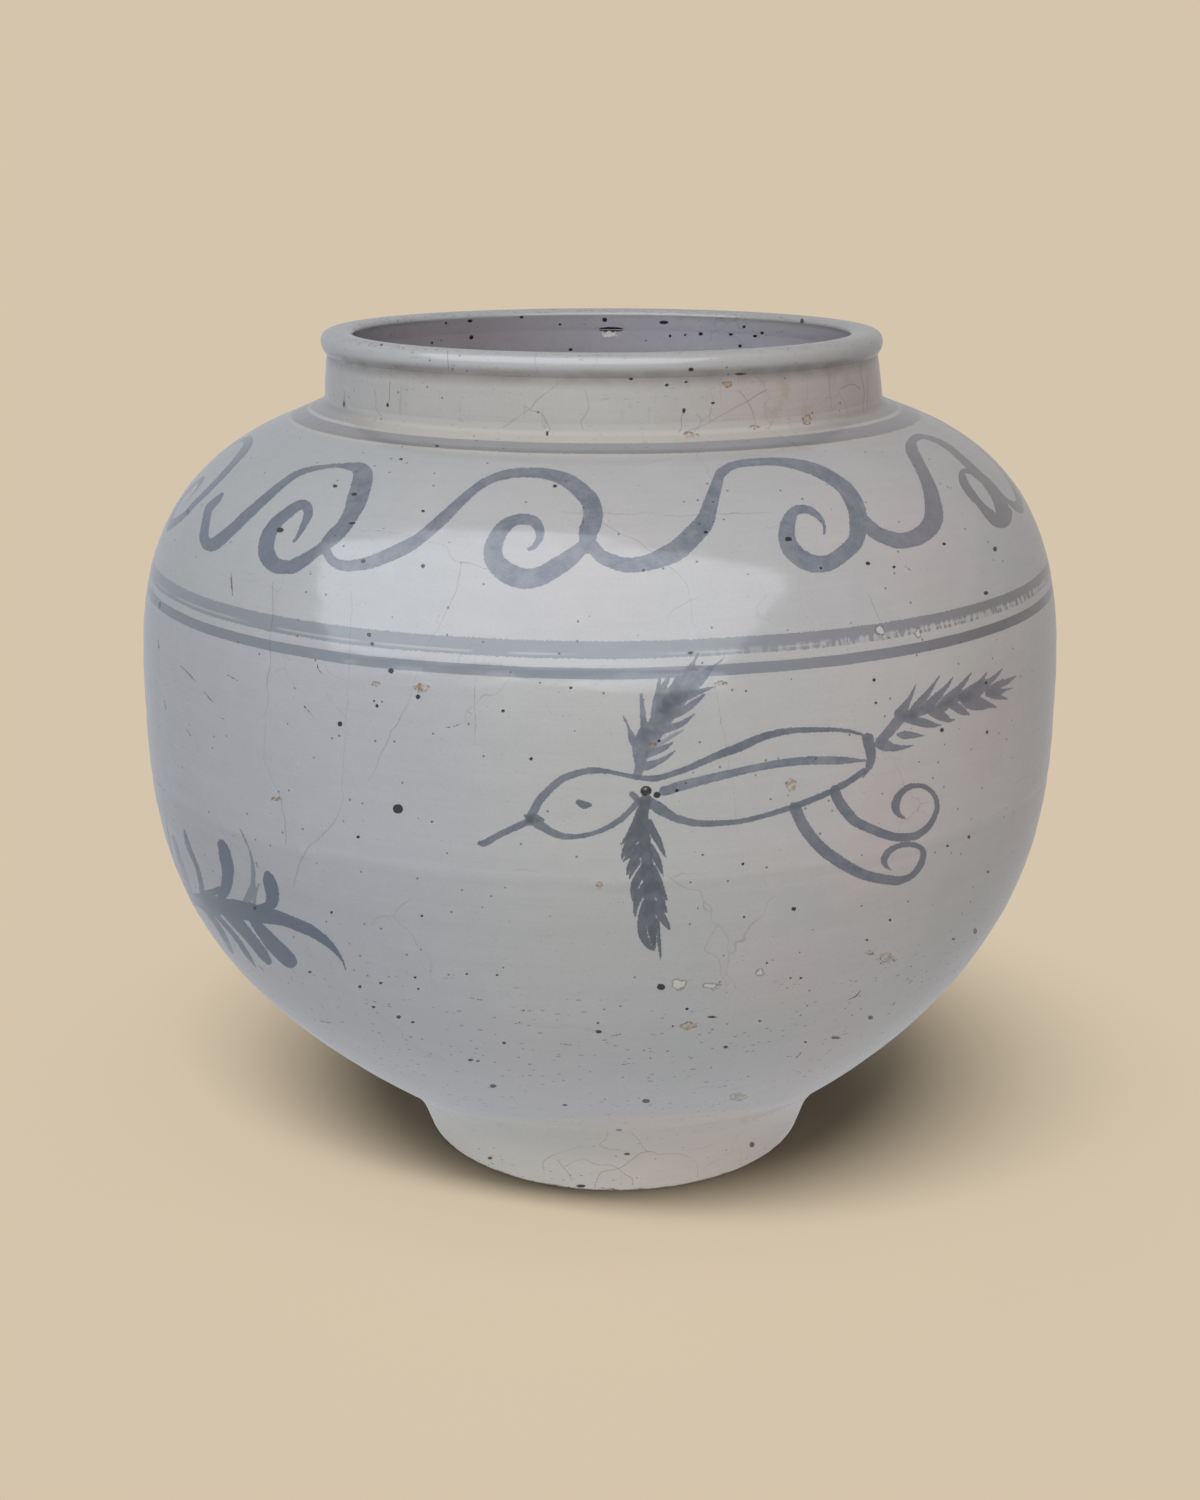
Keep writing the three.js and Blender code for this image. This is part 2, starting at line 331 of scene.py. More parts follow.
LEFT_TROUGH = [
    (222, 494, 3.5), (217, 500, 7), (210, 507, 8), (207, 515, 8), (204, 535, 9), (206, 542, 11.5),
    (210, 545, 12.5), (216, 543, 12.5), (237, 525, 10.5), (246, 516, 10.5), (286, 481, 7.5),
    (306, 470.5, 6), (330, 466, 4), (342, 465.8, 5), (351, 466.5, 9),
]
LEFT_VOLUTE = [
    (357, 468, 12), (362, 472, 18), (363, 478, 20), (359, 494, 20), (356, 502, 20), (353, 510, 17),
    (344, 526, 15), (332, 538, 15), (320, 549, 10), (296, 565, 14), (286, 567, 14), (275, 565, 16),
    (268, 557, 17), (266, 548, 16), (268, 537, 15), (273, 527, 13), (280, 519, 12), (297, 506, 10),
    (305, 505, 10), (308, 510, 10), (307, 518, 8), (298, 536, 4), (294, 541, 3),
]
CENTRE_TROUGH = [
    (326, 547, 9), (328, 555, 9), (334, 562, 10), (343, 565.5, 11), (353, 565.5, 11), (373, 561.5, 13),
    (403, 548.5, 14), (421, 537.5, 12), (440, 521, 12), (470, 493, 9), (490, 479.5, 8.5), (510, 473.7, 9.5),
    (530, 472.5, 10), (550, 474.5, 11.5), (570, 482, 15), (588, 498, 18), (592, 507, 19), (593, 516, 20),
    (591, 525, 20), (588, 533, 19), (588, 547, 14),
]
CENTRE_VOLUTE = [
    (584, 546, 13), (566, 561, 18), (543, 575, 19), (530, 578.5, 20), (518, 577.5, 21), (506, 572, 21),
    (497, 564, 20), (493, 555, 19), (494, 545, 18), (498, 535, 16), (505, 526, 14), (514, 520.5, 11),
    (525, 519, 11), (534, 521.5, 11), (539, 528, 10), (540, 536, 8), (537, 543, 6), (533, 547.5, 5),
    (529, 549, 4),
]
RIGHT_TROUGH = [
    (592, 545, 12), (597, 552, 13), (605, 558.5, 14), (625, 565, 15), (647, 563, 16), (668, 555, 20),
    (680, 548, 21), (699, 529, 20), (706, 519, 18), (709, 509, 16), (718, 480, 11), (722, 472, 10),
    (738, 464, 8), (772, 461.5, 8), (797, 464.5, 11), (820, 471.5, 13), (840, 484, 14), (848, 492, 16),
    (857, 510, 18), (858, 528, 17),
]
RIGHT_VOLUTE = [
    (858, 530, 17), (857, 538, 16), (851, 547, 16), (833, 561, 16), (821, 564, 17), (809, 562.5, 18),
    (799, 557, 18), (791, 549, 18), (787, 539, 17), (787, 528, 16), (790, 518, 13), (795, 511, 10),
    (803, 509, 9), (811, 511, 8), (818, 516, 6), (823, 522, 4), (824.5, 528, 3), (824, 534, 2),
]
FAR_TROUGH = [
    (866, 520, 8.5), (871, 528, 13), (878, 534, 14), (897, 540.5, 16), (907, 540, 16), (917, 537, 17.5),
    (926, 531, 18.5), (932, 523, 19.5), (934, 513, 18.5), (931, 493, 15), (924, 474, 12), (914, 455, 12),
    (911, 447, 12), (913, 440, 8.5), (918, 437, 6.5), (925, 437, 4.5), (935, 440, 5.5), (952, 450, 6.5),
    (982, 478, 8.5), (988, 484, 9.5), (998, 498, 12), (1004, 514, 15),
]
FAR_VOLUTE = [
    (1004, 514, 17), (1003, 520, 15.5), (998, 521, 13), (991, 516, 11), (979, 503, 7), (973, 496, 8.5),
    (967, 488, 8.5), (963, 480, 8.5), (962, 473, 6), (966, 471, 5), (972, 474, 2.5), (978, 480, 1),
]

# how heavily each group of strokes is loaded with pigment
BIRD = [
    (1.08, [BEAK, HEAD_AND_BACK, BELLY_LINE, RUMP, LOWER_HEAD, HEAD_KNOT, BREAST_STUB]),
    (0.9, [BODY_LINE]),
    (1.2, [EYE]),
    (1.07, [UPPER_LEG, LOWER_LEG]),
    (0.92, UP_WING),
    (0.55, UP_WING_THIN),
    (1.25, DOWN_WING),
    (0.96, TAIL),
]
SPRAY = [(0.9, [LEAF_STEM]), (0.92, LEAVES), (0.55, THIN_LEAVES)]
HIDDEN_SPRAY = [(0.85, [HIDDEN_STEM]), (0.85, HIDDEN_LEAVES)]
SCROLLS = [
    (0.8, [LEFT_TROUGH, LEFT_VOLUTE, CENTRE_TROUGH, CENTRE_VOLUTE]),
    (0.8, [RIGHT_TROUGH, RIGHT_VOLUTE, FAR_TROUGH, FAR_VOLUTE]),
]
SCROLL_UNIT = [(0.8, [RIGHT_TROUGH, RIGHT_VOLUTE])]

# the two lines round the belly, as their lower and upper level
UPPER_BAND = (252.8, 258.4)
LOWER_BAND = (246.2, 249.9)
# the ledge's line, above the shoulder's level
LEDGE_BAND = (0.7, 3.5)

# the scroll that is copied round the unseen side, and how far the copies stand from it
UNIT_TURN = 32
UNIT_FIRST_TURN = 68
UNIT_COPIES = 7
# each copy stands a little lower than the one before, as the photograph's first scroll does
UNIT_DROP = 1.0
BACK_TURN = 180

# Short dark scratches: x, y and width, and how much thinner they are drawn, in millimetres.
SCRATCH_THINNER = 0.08
SCRATCHES = [
    [(231, 573, 0.6), (231.5, 584, 1.4), (232.5, 597, 0.6)],
    [(180, 665, 0.5), (188, 673, 1.1), (196, 682, 0.6)],
    [(227, 675, 0.6), (233, 678, 1.2), (238, 681, 0.5)],
    [(204, 692, 0.5), (209, 698, 1.1), (213, 702, 0.5)],
    [(186, 729, 0.5), (191, 736, 0.8)],
    [(215, 715, 0.5), (225, 720, 0.8)],
    [(317, 664, 1), (319, 671, 1.2), (326, 676, 0.6)],
    [(304, 706, 1.2), (310, 713, 0.7), (315, 720, 0.5)],
    [(292, 683, 0.5), (295, 689, 0.8)],
    [(446, 728, 1), (455, 726, 0.6), (463, 723, 0.5)],
    [(440, 738, 0.8), (443, 741, 0.5)],
    [(467, 711, 0.7), (471, 714, 0.7)],
    [(546, 706, 0.5), (552, 715, 0.7)],
    [(158, 640, 0.6), (159, 648, 1)],
    [(164, 700, 0.5), (166, 709, 0.8)],
    [(905, 566, 0.6), (911, 571, 0.8)],
    [(600, 692, 0.5), (612, 694, 0.6)],
    [(848, 1000, 0.6), (856, 996, 1), (861, 990, 0.6)],
    [(796, 1058, 0.6), (801, 1053, 0.8)],
    [(320, 1021, 0.6), (331, 1023, 0.7)],
    [(470, 998, 0.5), (482, 1000, 0.7)],
    [(520, 1010, 0.5), (531, 1011, 0.6)],
    [(612, 1036, 0.5), (621, 1034, 0.7)],
    [(560, 1044, 0.5), (571, 1045, 0.7)],
]
# Dark iron specks on the outside: x, y, half width and half height in pixels.
DARK_SPECKS = [
    (398, 809, 5, 4.6), (340, 724, 2.2, 2.4), (391, 671, 2.6, 2.6), (418, 697, 2.2, 2.4),
    (280, 530, 3.4, 2.4), (423, 566, 1.9, 1.8), (369, 635, 1.8, 1.7), (372, 644, 1.6, 1.4),
    (377, 706, 1.5, 1.6), (374, 701, 1, 1), (382, 702, 0.9, 0.9), (335, 486, 2, 1.6),
    (354, 494, 2.6, 1.6), (571, 688, 1.5, 1.3), (503, 711, 1.6, 1.5), (423, 511, 1.7, 1.3),
    (555, 486, 2, 1.5), (363, 561, 1.9, 1.5), (401, 459, 1.5, 1.1), (437, 446, 1.8, 1),
    (352, 523, 3, 1.2), (188, 512, 1, 2.2), (160, 605, 1, 2.6), (531, 759, 1.6, 1.6),
    (788.6, 539, 3.4, 2.2), (944, 544, 1.7, 1.4), (995, 549, 1.8, 2.3), (986, 593, 2.2, 1.8),
    (894, 567, 1.5, 1.2), (868, 563.4, 2.2, 1.6), (874, 680, 1.6, 1.6), (942, 730, 1.9, 2),
    (987, 732, 1.1, 1.6),
    (986, 683, 1.4, 1.4), (706, 532, 2, 1.4), (821, 568, 1.5, 1.2), (643.6, 570, 1.1, 0.9),
    (691, 653, 2.4, 1.3), (746, 691, 1, 1), (659, 741, 1.5, 1.3), (876, 703, 1.4, 1.1),
    (677, 790.6, 1.7, 1.5), (743, 864, 1.4, 1.3), (702.5, 855, 1.1, 0.9), (794, 909, 2.2, 2),
    (744, 917, 1.1, 1), (890, 920, 1.3, 1.2), (975, 931, 1.8, 2.8), (953.5, 939, 1.6, 1),
    (867, 940, 1.2, 1.2), (790.5, 978, 1.1, 1), (801, 978, 1.2, 0.9), (767, 963, 1, 0.9),
    (687, 1009, 1.6, 1.2), (673, 1026, 1, 0.8), (712, 1017, 4, 1), (598.6, 1031.7, 3, 1.3),
    (598, 1023, 1, 0.8), (760, 1021, 1.3, 0.9), (725.5, 1047, 2.2, 1.1), (805.5, 1042, 1.3, 0.9),
    (835.5, 1037.7, 4, 1.2), (870.6, 1017.6, 2.4, 2), (969, 837, 1.4, 1.7), (947.5, 846, 1.4, 1.1),
    (988, 871.6, 1.2, 1.2), (646, 1101, 3.7, 1.9), (432, 822, 1.2, 1), (358, 837, 1.6, 1.4),
    (255, 908, 1.7, 1.7), (331.6, 912.5, 1.3, 1.3), (422, 916, 1.2, 1.1), (310, 972, 1.5, 1.1),
    (360, 986.6, 1.7, 1.5), (380.6, 983, 1.5, 1.1), (415, 977.4, 1.3, 1), (418, 989, 1.1, 1),
    (467, 974, 1.2, 0.9), (497, 975, 1.1, 0.9), (398.6, 1017, 2, 1.6), (413, 1022, 1.8, 1),
    (373.5, 1007, 1.7, 1), (504, 1043, 1.8, 1), (470.6, 1060, 2.4, 1), (478, 1061, 1.6, 0.7),
    (493, 1086, 3, 1.6), (565, 1105, 2.2, 0.9), (619, 1130, 2.7, 0.9), (627, 1154, 2.8, 1.1),
    (490, 1158, 2, 1.4), (752, 1144.5, 2.4, 2.6), (581, 1186, 4, 1.4), (547, 433.5, 1, 2),
    (631, 379, 1.9, 1.2), (667, 385, 1.6, 1.4), (686, 382, 1.4, 0.9), (684, 410.5, 1.5, 2.3),
    (713, 403, 1.6, 1), (387.6, 405, 1.3, 1.7), (344, 404, 1.2, 3), (740, 374, 4, 0.9),
    (381.5, 344.7, 1.5, 1), (802, 321, 1.7, 2.7), (691, 369.6, 2.6, 1.7), (646, 791, 5.4, 5),
    (657, 795, 3.4, 3), (661, 987, 4, 3),
]
# Brown or ochre stains and shallow pits with a pale floor, read the same way.
TAN_PITS = [
    (887, 958, 6.5, 4.5), (689, 1026, 8.5, 3.2), (738, 1097, 7, 3), (791, 785, 5, 6),
    (599.5, 885, 3, 2.6), (870, 953, 2.6, 1.7), (727.5, 384.5, 4.4, 2.6), (690, 434.7, 5, 2.2),
    (754, 427, 3, 1.6), (807, 420, 4, 4.4), (277, 799, 3, 2),
    (421, 688, 6, 3), (376, 684, 4, 1.8), (722, 683, 5, 1.8), (652, 746, 3.4, 1.6),
]
PALE_PITS = [
    (679, 984, 6.5, 5), (711, 986, 7, 2.4), (760, 972, 3.4, 3), (880, 630, 4.4, 4), (918, 634, 2.6, 3.6),
    (645, 789, 1.8, 1.3), (648, 794, 1.2, 1),
]
# Specks on the far inner wall of the neck, seen through the mouth, and the chip there.
BORE_SPECKS = [
    (471.5, 337.5, 2, 2), (470, 321, 2.2, 1.4), (521.6, 317, 2, 1.6), (560, 324.5, 1.4, 1.2),
    (604.6, 320, 2.5, 2), (663.6, 322.5, 4.4, 1.7), (670, 336, 1.3, 1.3), (685, 335, 1.3, 1),
    (700.7, 334, 2, 1.6), (731, 334, 2, 1.7), (740, 346, 1.6, 1.6), (744, 327, 1.5, 1.3),
    (762, 333, 1.6, 1.5), (755, 336, 2, 1.5), (570.6, 349.7, 1.8, 1.4), (446, 323, 1.2, 1.2),
    (432, 343, 1.2, 1.2), (611, 329.6, 12.5, 2.4),
]
BORE_CHIP = [(609, 334, 9.5, 3)]

# Fine craze lines in the glaze, each a run of x, y.
CRAZE = [
    [(274, 582), (270, 650), (264, 761), (281, 800), (285, 817), (287, 844)],
    [(352, 592), (350, 640), (348, 700), (343, 780), (343, 804), (333, 826), (311, 844), (299, 866),
     (293, 887)],
    [(361, 529), (399, 533), (430, 541), (449, 549), (453, 562), (463, 563), (483, 567), (517, 574)],
    [(463, 563), (453, 599), (425, 649), (405, 711), (389, 733), (377, 767), (369, 780)],
    [(477, 650), (475, 699), (475, 746)],
    [(599, 522), (635, 540), (664, 561), (687, 584), (693, 617), (700, 639), (705, 659), (716, 691),
     (724, 734), (732, 779), (735, 801), (738, 833)],
    [(560, 512), (657, 515), (697, 515), (771, 512)],
    [(768, 594), (757, 605), (760, 617), (775, 626)],
    [(697, 596), (670, 612), (667, 631), (684, 635)],
    [(869, 594), (879, 620)],
    [(503, 655), (500, 672), (512, 676)],
    [(232, 575), (233, 592)], [(180, 667), (195, 681)], [(325, 694), (340, 712), (352, 724)],
    [(325, 665), (331, 676), (345, 680)],
    [(564, 379), (537, 401), (514, 420), (501, 428)],
    [(525, 407), (543, 414), (551, 430), (547, 435)],
    [(586, 390), (588, 409), (580, 422), (583, 431)],
    [(684, 411), (683, 422), (679, 433)], [(696, 413), (703, 424), (694, 433)],
    [(765, 390), (750, 399), (732, 409), (711, 422), (686, 432)],
    [(740, 391), (748, 401), (757, 426)],
    [(861, 358), (864, 415)], [(866, 360), (868, 408)], [(842, 390), (851, 386), (861, 388)],
    [(391, 382), (388, 405)], [(375, 390), (376, 412), (382, 417)], [(344, 392), (345, 410)],
    [(448, 351), (449, 368)], [(535, 354), (537, 370)], [(597, 356), (594, 366), (585, 372)],
    [(565, 1165), (581, 1160), (608, 1165), (624, 1171), (632, 1179), (634, 1187)],
    [(595, 1187), (597, 1174), (608, 1169), (622, 1167), (635, 1158), (648, 1152), (683, 1155),
     (698, 1163), (697, 1177)],
    [(648, 1152), (640, 1144), (632, 1134)], [(608, 1131), (605, 1144), (599, 1146), (619, 1151)],
    [(557, 1160), (568, 1174), (572, 1182)], [(543, 1171), (544, 1160), (560, 1152), (581, 1147)],
]

# How far the drawn craze lines turn about between the listed points, in pixels.
CRACK_STEP = 9
CRACK_WANDER = 0.8
CRACK_SEED = 5


def cracked(lines):
    """The craze lines with small turns between the listed points, as x, y and no width."""
    random = np.random.default_rng(CRACK_SEED)
    out = []
    for line in lines:
        line = np.asarray(line, float)
        way = np.concatenate([[0], np.cumsum(np.hypot(*np.diff(line, axis=0).T))])
        steps = np.linspace(0, way[-1], max(2, round(way[-1] / CRACK_STEP)) + 1)
        x, y = (np.interp(steps, way, line[:, k]) for k in (0, 1))
        shift = random.normal(0, CRACK_WANDER, (2, len(steps)))
        out.append(np.column_stack([x + shift[0], y + shift[1], 0 * x]))
    return out


HAIRLINES = cracked(CRAZE)


# Outlines

def bezier(controls, count):
    """Points along a Bezier curve of any degree, both ends included."""
    t = np.linspace(0, 1, count)[:, None]
    rows = [np.asarray(c, float) for c in controls]
    while len(rows) > 1:
        rows = [a + (b - a) * t for a, b in zip(rows, rows[1:])]
    return rows[0]


def body_outline():
    """The outside of both bowls, from the foot to the shoulder, as radius and level."""
    start = np.array([FOOT_TOP_RADIUS, FOOT_TOP])
    corner = start + (FLARE_CORNER_OUT, FLARE_CORNER_UP)
    flare_end = start + (FLARE_OUT, FLARE_UP)
    outward = (flare_end - corner) / np.linalg.norm(flare_end - corner)
    belly = np.array([BELLY_RADIUS, BELLY_LEVEL])
    shoulder = np.array([SHOULDER_RADIUS, SHOULDER])
    fall = math.radians(SHOULDER_FALL_DEG)
    swell = shoulder + SHOULDER_SWELL * np.array([math.cos(fall), -math.sin(fall)])
    flare = bezier([start, corner, flare_end], CURVE_POINTS)
    under = [flare_end, flare_end + outward * LOWER_SWELL, belly - (0, BELLY_SWELL_DOWN), belly]
    over = [belly, belly + (0, BELLY_SWELL_UP), swell, shoulder]
    return np.vstack([flare[:-1], bezier(under, SWELL_POINTS)[:-1], bezier(over, SWELL_POINTS)])


def inset(line, depth):
    """The same line moved square to itself into the clay."""
    along = np.gradient(line, axis=0)
    along /= np.linalg.norm(along, axis=1)[:, None]
    return line + depth * np.column_stack([-along[:, 1], along[:, 0]])


def between(line, low, high):
    """The part of a line between two levels, with a point exactly on each of them."""
    ends = [[np.interp(level, line[:, 1], line[:, 0]), level] for level in (low, high)]
    inside = line[(line[:, 1] > low + SMALLEST_STEP) & (line[:, 1] < high - SMALLEST_STEP)]
    return np.vstack([ends[0], inside, ends[1]])


def lean(level):
    """How far the centre line stands to the right of the belly's, at a level."""
    foot = FOOT_LEAN * (1 - smooth(level, 0, FOOT_LEAN_REACH))
    shoulder = SHOULDER_LEAN * np.clip(1 - (SHOULDER - level) / SHOULDER_LEAN_REACH, 0, 1) ** 2
    upper = np.interp(level, [SHOULDER, NECK, TOP], [SHOULDER_LEAN, NECK_LEAN, LIP_LEAN])
    return np.where(level < FOOT_LEAN_REACH, foot, np.where(level < SHOULDER, shoulder, upper))


def smooth(value, low, high):
    """Eases from 0 at low to 1 at high."""
    t = np.clip((np.asarray(value, float) - low) / (high - low), 0, 1)
    return t * t * (3 - 2 * t)


def bell(value, half):
    """1 at 0, and less than half of that at the half width."""
    return np.exp(-((value / half) ** 2))


def relief(angle, level):
    """How far the wall stands out from its true circle, inside it at the belly's widest line."""
    out = -BELLY_ROOM * bell(level - BELLY_LEVEL, BELLY_ROOM_REACH)
    for length, height, start, drift in RINGS:
        wander = RING_WANDER * np.sin(angle + drift)
        out = out + height * np.sin(2 * math.pi * level / length + start + wander)
    for count, height, start, turn in WAVES:
        out = out + height * np.cos(count * angle + start + level / turn) * smooth(level, *WAVES_BEGIN)
    ridge = bell(level - SEAM - RIDGE_UP, RIDGE_HALF)
    ridge = ridge - GROOVE_SHARE * bell(level - SEAM + GROOVE_DOWN, GROOVE_HALF)
    crease = SEAM_CREASE * np.exp(CREASE_FOCUS * (np.cos(angle - CREASE_ANGLE) - 1))
    sway = 1 - RIDGE_SWAY + RIDGE_SWAY * np.sin(2 * angle + 1)
    return out + ridge * (SEAM_RIDGE * sway + crease)


# Sections: closed lines that are turned about the wheel's axis

class Section:
    """One thrown section: smooth runs of its outline, joined end to end."""

    def __init__(self, name, node, slot):
        self.name = name
        self.node = node
        self.slot = slot
        self.line = []
        self.rows = []
        self.face = []
        self.length = 0.0

    def run(self, points, step, face="hidden"):
        """Adds a smooth run. face is outside, bore or hidden, and says which paint can be on it."""
        points = np.asarray(points, float)
        arc = self.length + np.concatenate([[0], np.cumsum(np.hypot(*np.diff(points, axis=0).T))])
        way = np.gradient(points, arc, axis=0)
        way /= np.linalg.norm(way, axis=1)[:, None]
        self.line.append(np.column_stack([arc, points, way]))
        count = max(1, math.ceil((arc[-1] - arc[0]) / step))
        stations = np.linspace(arc[0], arc[-1], count + 1)
        self.rows += list(stations if not self.rows else stations[1:])
        self.face += [face] * count
        self.length = arc[-1]

    def finish(self):
        self.line = np.vstack(self.line)
        self.rows = np.array(self.rows)
        self.open_low = self.line[0, 1] < ON_AXIS
        self.open_high = self.line[-1, 1] < ON_AXIS
        self.closed = not (self.open_low or self.open_high)
        return self

    def arc_at(self, row):
        """Arc length at a row counted in fine steps."""
        return np.interp(row, np.arange(len(self.rows)) * FINE, self.rows)

    def at(self, arc):
        """Radius, level and direction at an arc length."""
        return [np.interp(arc, self.line[:, 0], self.line[:, k]) for k in (1, 2, 3, 4)]

    def surface(self, column, row, lean_to=None):
        """Places and outward directions at fine columns and rows. lean_to picks the run at a joint."""
        arc = self.arc_at(row)
        radius, level, way_out, way_up = self.at(arc)
        if lean_to is not None:
            way_out, way_up = self.at(arc + (self.arc_at(lean_to) - arc) * JOINT_LEAN)[2:]
        angle = column * (2 * math.pi / (AROUND * FINE))
        hand = smooth(radius, 0, HAND_REACH)
        wide = radius + relief(angle, level) * hand
        turned_by = relief(angle + SLOPE_STEP, level) - relief(angle - SLOPE_STEP, level)
        risen_by = relief(angle, level + SLOPE_STEP) - relief(angle, level - SLOPE_STEP)
        turn_slope = turned_by * hand / (2 * SLOPE_STEP)
        rise_slope = risen_by * hand / (2 * SLOPE_STEP)
        out = np.column_stack([np.sin(angle), -np.cos(angle), 0 * angle])
        round_way = np.column_stack([np.cos(angle), np.sin(angle), 0 * angle])
        place = out * wide[:, None]
        place[:, 0] += lean(level)
        front = (0.5 + 0.5 * np.cos(angle)) ** 3
        place[:, 2] = level - LIP_DIP * smooth(level, LIP + LIP_DIP_UP, TOP) * front
        facing = out * (way_up * wide)[:, None] - round_way * (turn_slope * way_up)[:, None]
        facing[:, 2] = -(way_out + rise_slope * way_up) * wide
        size = np.linalg.norm(facing, axis=1)
        axis = size < NO_SIZE
        facing[axis] = 0
        facing[axis, 2] = np.where(level[axis] > FOOT_TOP + 1, 1, -1)
        return place, facing / np.where(axis, 1, size)[:, None]


def foot_section():
    """The foot ring, with worn round edges."""
    low = FOOT_CHAMFER
    bottom_in = (FOOT_INNER_RADIUS + low, 0)
    bottom_out = (FOOT_RADIUS - low, 0)
    wall_low = (FOOT_RADIUS + low / 3, low)
    wall_top = (FOOT_TOP_RADIUS, FOOT_TOP)
    inner_low = (FOOT_INNER_RADIUS, low)
    inner_top = (FOOT_INNER_RADIUS - FOOT_TAPER, FOOT_TOP)
    inner_corner = (FOOT_INNER_RADIUS, FOOT_TOP - FOOT_TAPER)
    ring = Section("foot", "foot_ring", "foot_glaze")
    ring.run(bezier([inner_low, (FOOT_INNER_RADIUS, 0), bottom_in], EDGE_POINTS), ROUND_STEP)
    ring.run([bottom_in, bottom_out], EDGE_STEP)
    ring.run(bezier([bottom_out, (FOOT_RADIUS, 0), wall_low], EDGE_POINTS), ROUND_STEP, "outside")
    ring.run([wall_low, wall_top], EDGE_STEP, "outside")
    ring.run([wall_top, inner_top], JOINT_STEP)
    ring.run(bezier([inner_top, inner_corner, inner_low], EDGE_POINTS), EDGE_STEP)
    return ring.finish()


def lower_section(outer, inner):
    """The lower bowl with its floor."""
    floor = FOOT_TOP + FLOOR
    outside = between(outer, FOOT_TOP, SEAM)
    wall = between(inner, floor + FLOOR_FILLET, SEAM)[::-1]
    floor_radius = np.interp(floor, inner[:, 1], inner[:, 0])
    fillet_end = (floor_radius - FLOOR_FILLET, floor)
    bowl = Section("lower_body", "lower_bowl", "lower_glaze")
    bowl.run([(0, FOOT_TOP), (FOOT_TOP_RADIUS, FOOT_TOP)], JOINT_STEP)
    bowl.run(outside, OUTSIDE_STEP, "outside")
    bowl.run([outside[-1], wall[0]], JOINT_STEP)
    bowl.run(wall, INSIDE_STEP)
    bowl.run(bezier([wall[-1], (floor_radius, floor), fillet_end], EDGE_POINTS), JOINT_STEP)
    bowl.run([fillet_end, (0, floor)], INSIDE_STEP)
    return bowl.finish()


def upper_section(outer, inner):
    """The upper bowl with its shoulder and the land round the mouth."""
    outside = between(outer, SEAM, SHOULDER)
    wall = between(inner, SEAM, inner[-1][1])[::-1]
    mouth = (NECK_BORE, SHOULDER)
    land = (NECK_BORE, SHOULDER - MOUTH_LAND)
    bowl = Section("upper_body", "upper_bowl", "upper_glaze")
    bowl.run(outside, OUTSIDE_STEP, "outside")
    bowl.run([outside[-1], mouth], JOINT_STEP)
    bowl.run([mouth, land], EDGE_STEP)
    bowl.run([land, wall[0]], JOINT_STEP)
    bowl.run(wall, INSIDE_STEP)
    bowl.run([wall[-1], outside[0]], JOINT_STEP)
    return bowl.finish()


def ring_section():
    """The low ledge that hides the lute between shoulder and neck."""
    edge = (SHOULDER_RADIUS, SHOULDER)
    crest = (NECK_CREST, NECK)
    bore_top = (NECK_BORE, NECK)
    bore_low = (NECK_BORE, SHOULDER)
    ring = Section("neck_ledge", "neck_ring", "ring_glaze")
    ring.run([edge, crest], ROUND_STEP, "outside")
    ring.run([crest, bore_top], JOINT_STEP)
    ring.run([bore_top, bore_low], EDGE_STEP, "bore")
    ring.run([bore_low, edge], JOINT_STEP)
    return ring.finish()


def collar_section():
    """The neck, a little waisted, with a soft fillet of glaze at its foot."""
    foot = (NECK_CREST, NECK)
    fillet = (NECK_RADIUS + NECK_FILLET_OUT, NECK + NECK_FILLET_UP)
    waist = (NECK_RADIUS - NECK_WAIST_IN, NECK + NECK_WAIST_UP)
    hollow = (NECK_RADIUS - NECK_WAIST_IN * 2, LIP - NECK_HOLLOW_DOWN)
    top = (NECK_TOP_RADIUS, LIP)
    bore_top = (NECK_TOP_RADIUS - NECK_WALL, LIP)
    bore_low = (NECK_BORE, NECK)
    collar = Section("neck", "neck_collar", "neck_glaze")
    collar.run(bezier([foot, fillet, waist], EDGE_POINTS), ROUND_STEP, "outside")
    collar.run(bezier([waist, hollow, top], CURVE_POINTS), EDGE_STEP, "outside")
    collar.run([top, bore_top], JOINT_STEP)
    collar.run([bore_top, bore_low], EDGE_STEP, "bore")
    collar.run([bore_low, foot], JOINT_STEP)
    return collar.finish()


def lip_section():
    """The folded lip: a soft cove under it, a round outer edge and a flat top, worn along its inside."""
    inner_radius = LIP_RADIUS - LIP_WIDTH
    neck_top = (NECK_TOP_RADIUS, LIP)
    cove = (LIP_RADIUS, LIP + LIP_COVE_UP)
    fullest = (LIP_RADIUS, LIP + LIP_FULLEST_UP)
    crest = (LIP_RADIUS - LIP_CREST_IN, TOP)
    pull = (inner_radius - LIP_EDGE_PULL, TOP)
    inner_edge = (inner_radius, TOP - LIP_EDGE_DOWN - LIP_EDGE_WORN)
    bore_top = (NECK_TOP_RADIUS - NECK_WALL, LIP)
    lip = Section("lip", "rolled_lip", "lip_glaze")
    lip.run(bezier([neck_top, cove, fullest], CURVE_POINTS), ROUND_STEP, "outside")
    lip.run(bezier([fullest, (LIP_RADIUS, TOP), crest], CURVE_POINTS), ROUND_STEP, "outside")
    lip.run(bezier([crest, pull, inner_edge], CURVE_POINTS), ROUND_STEP, "outside")
    lip.run([inner_edge, bore_top], EDGE_STEP, "bore")
    lip.run([bore_top, neck_top], JOINT_STEP)
    return lip.finish()


# Paint: distances to the strokes and specks, as the photograph's camera sees them

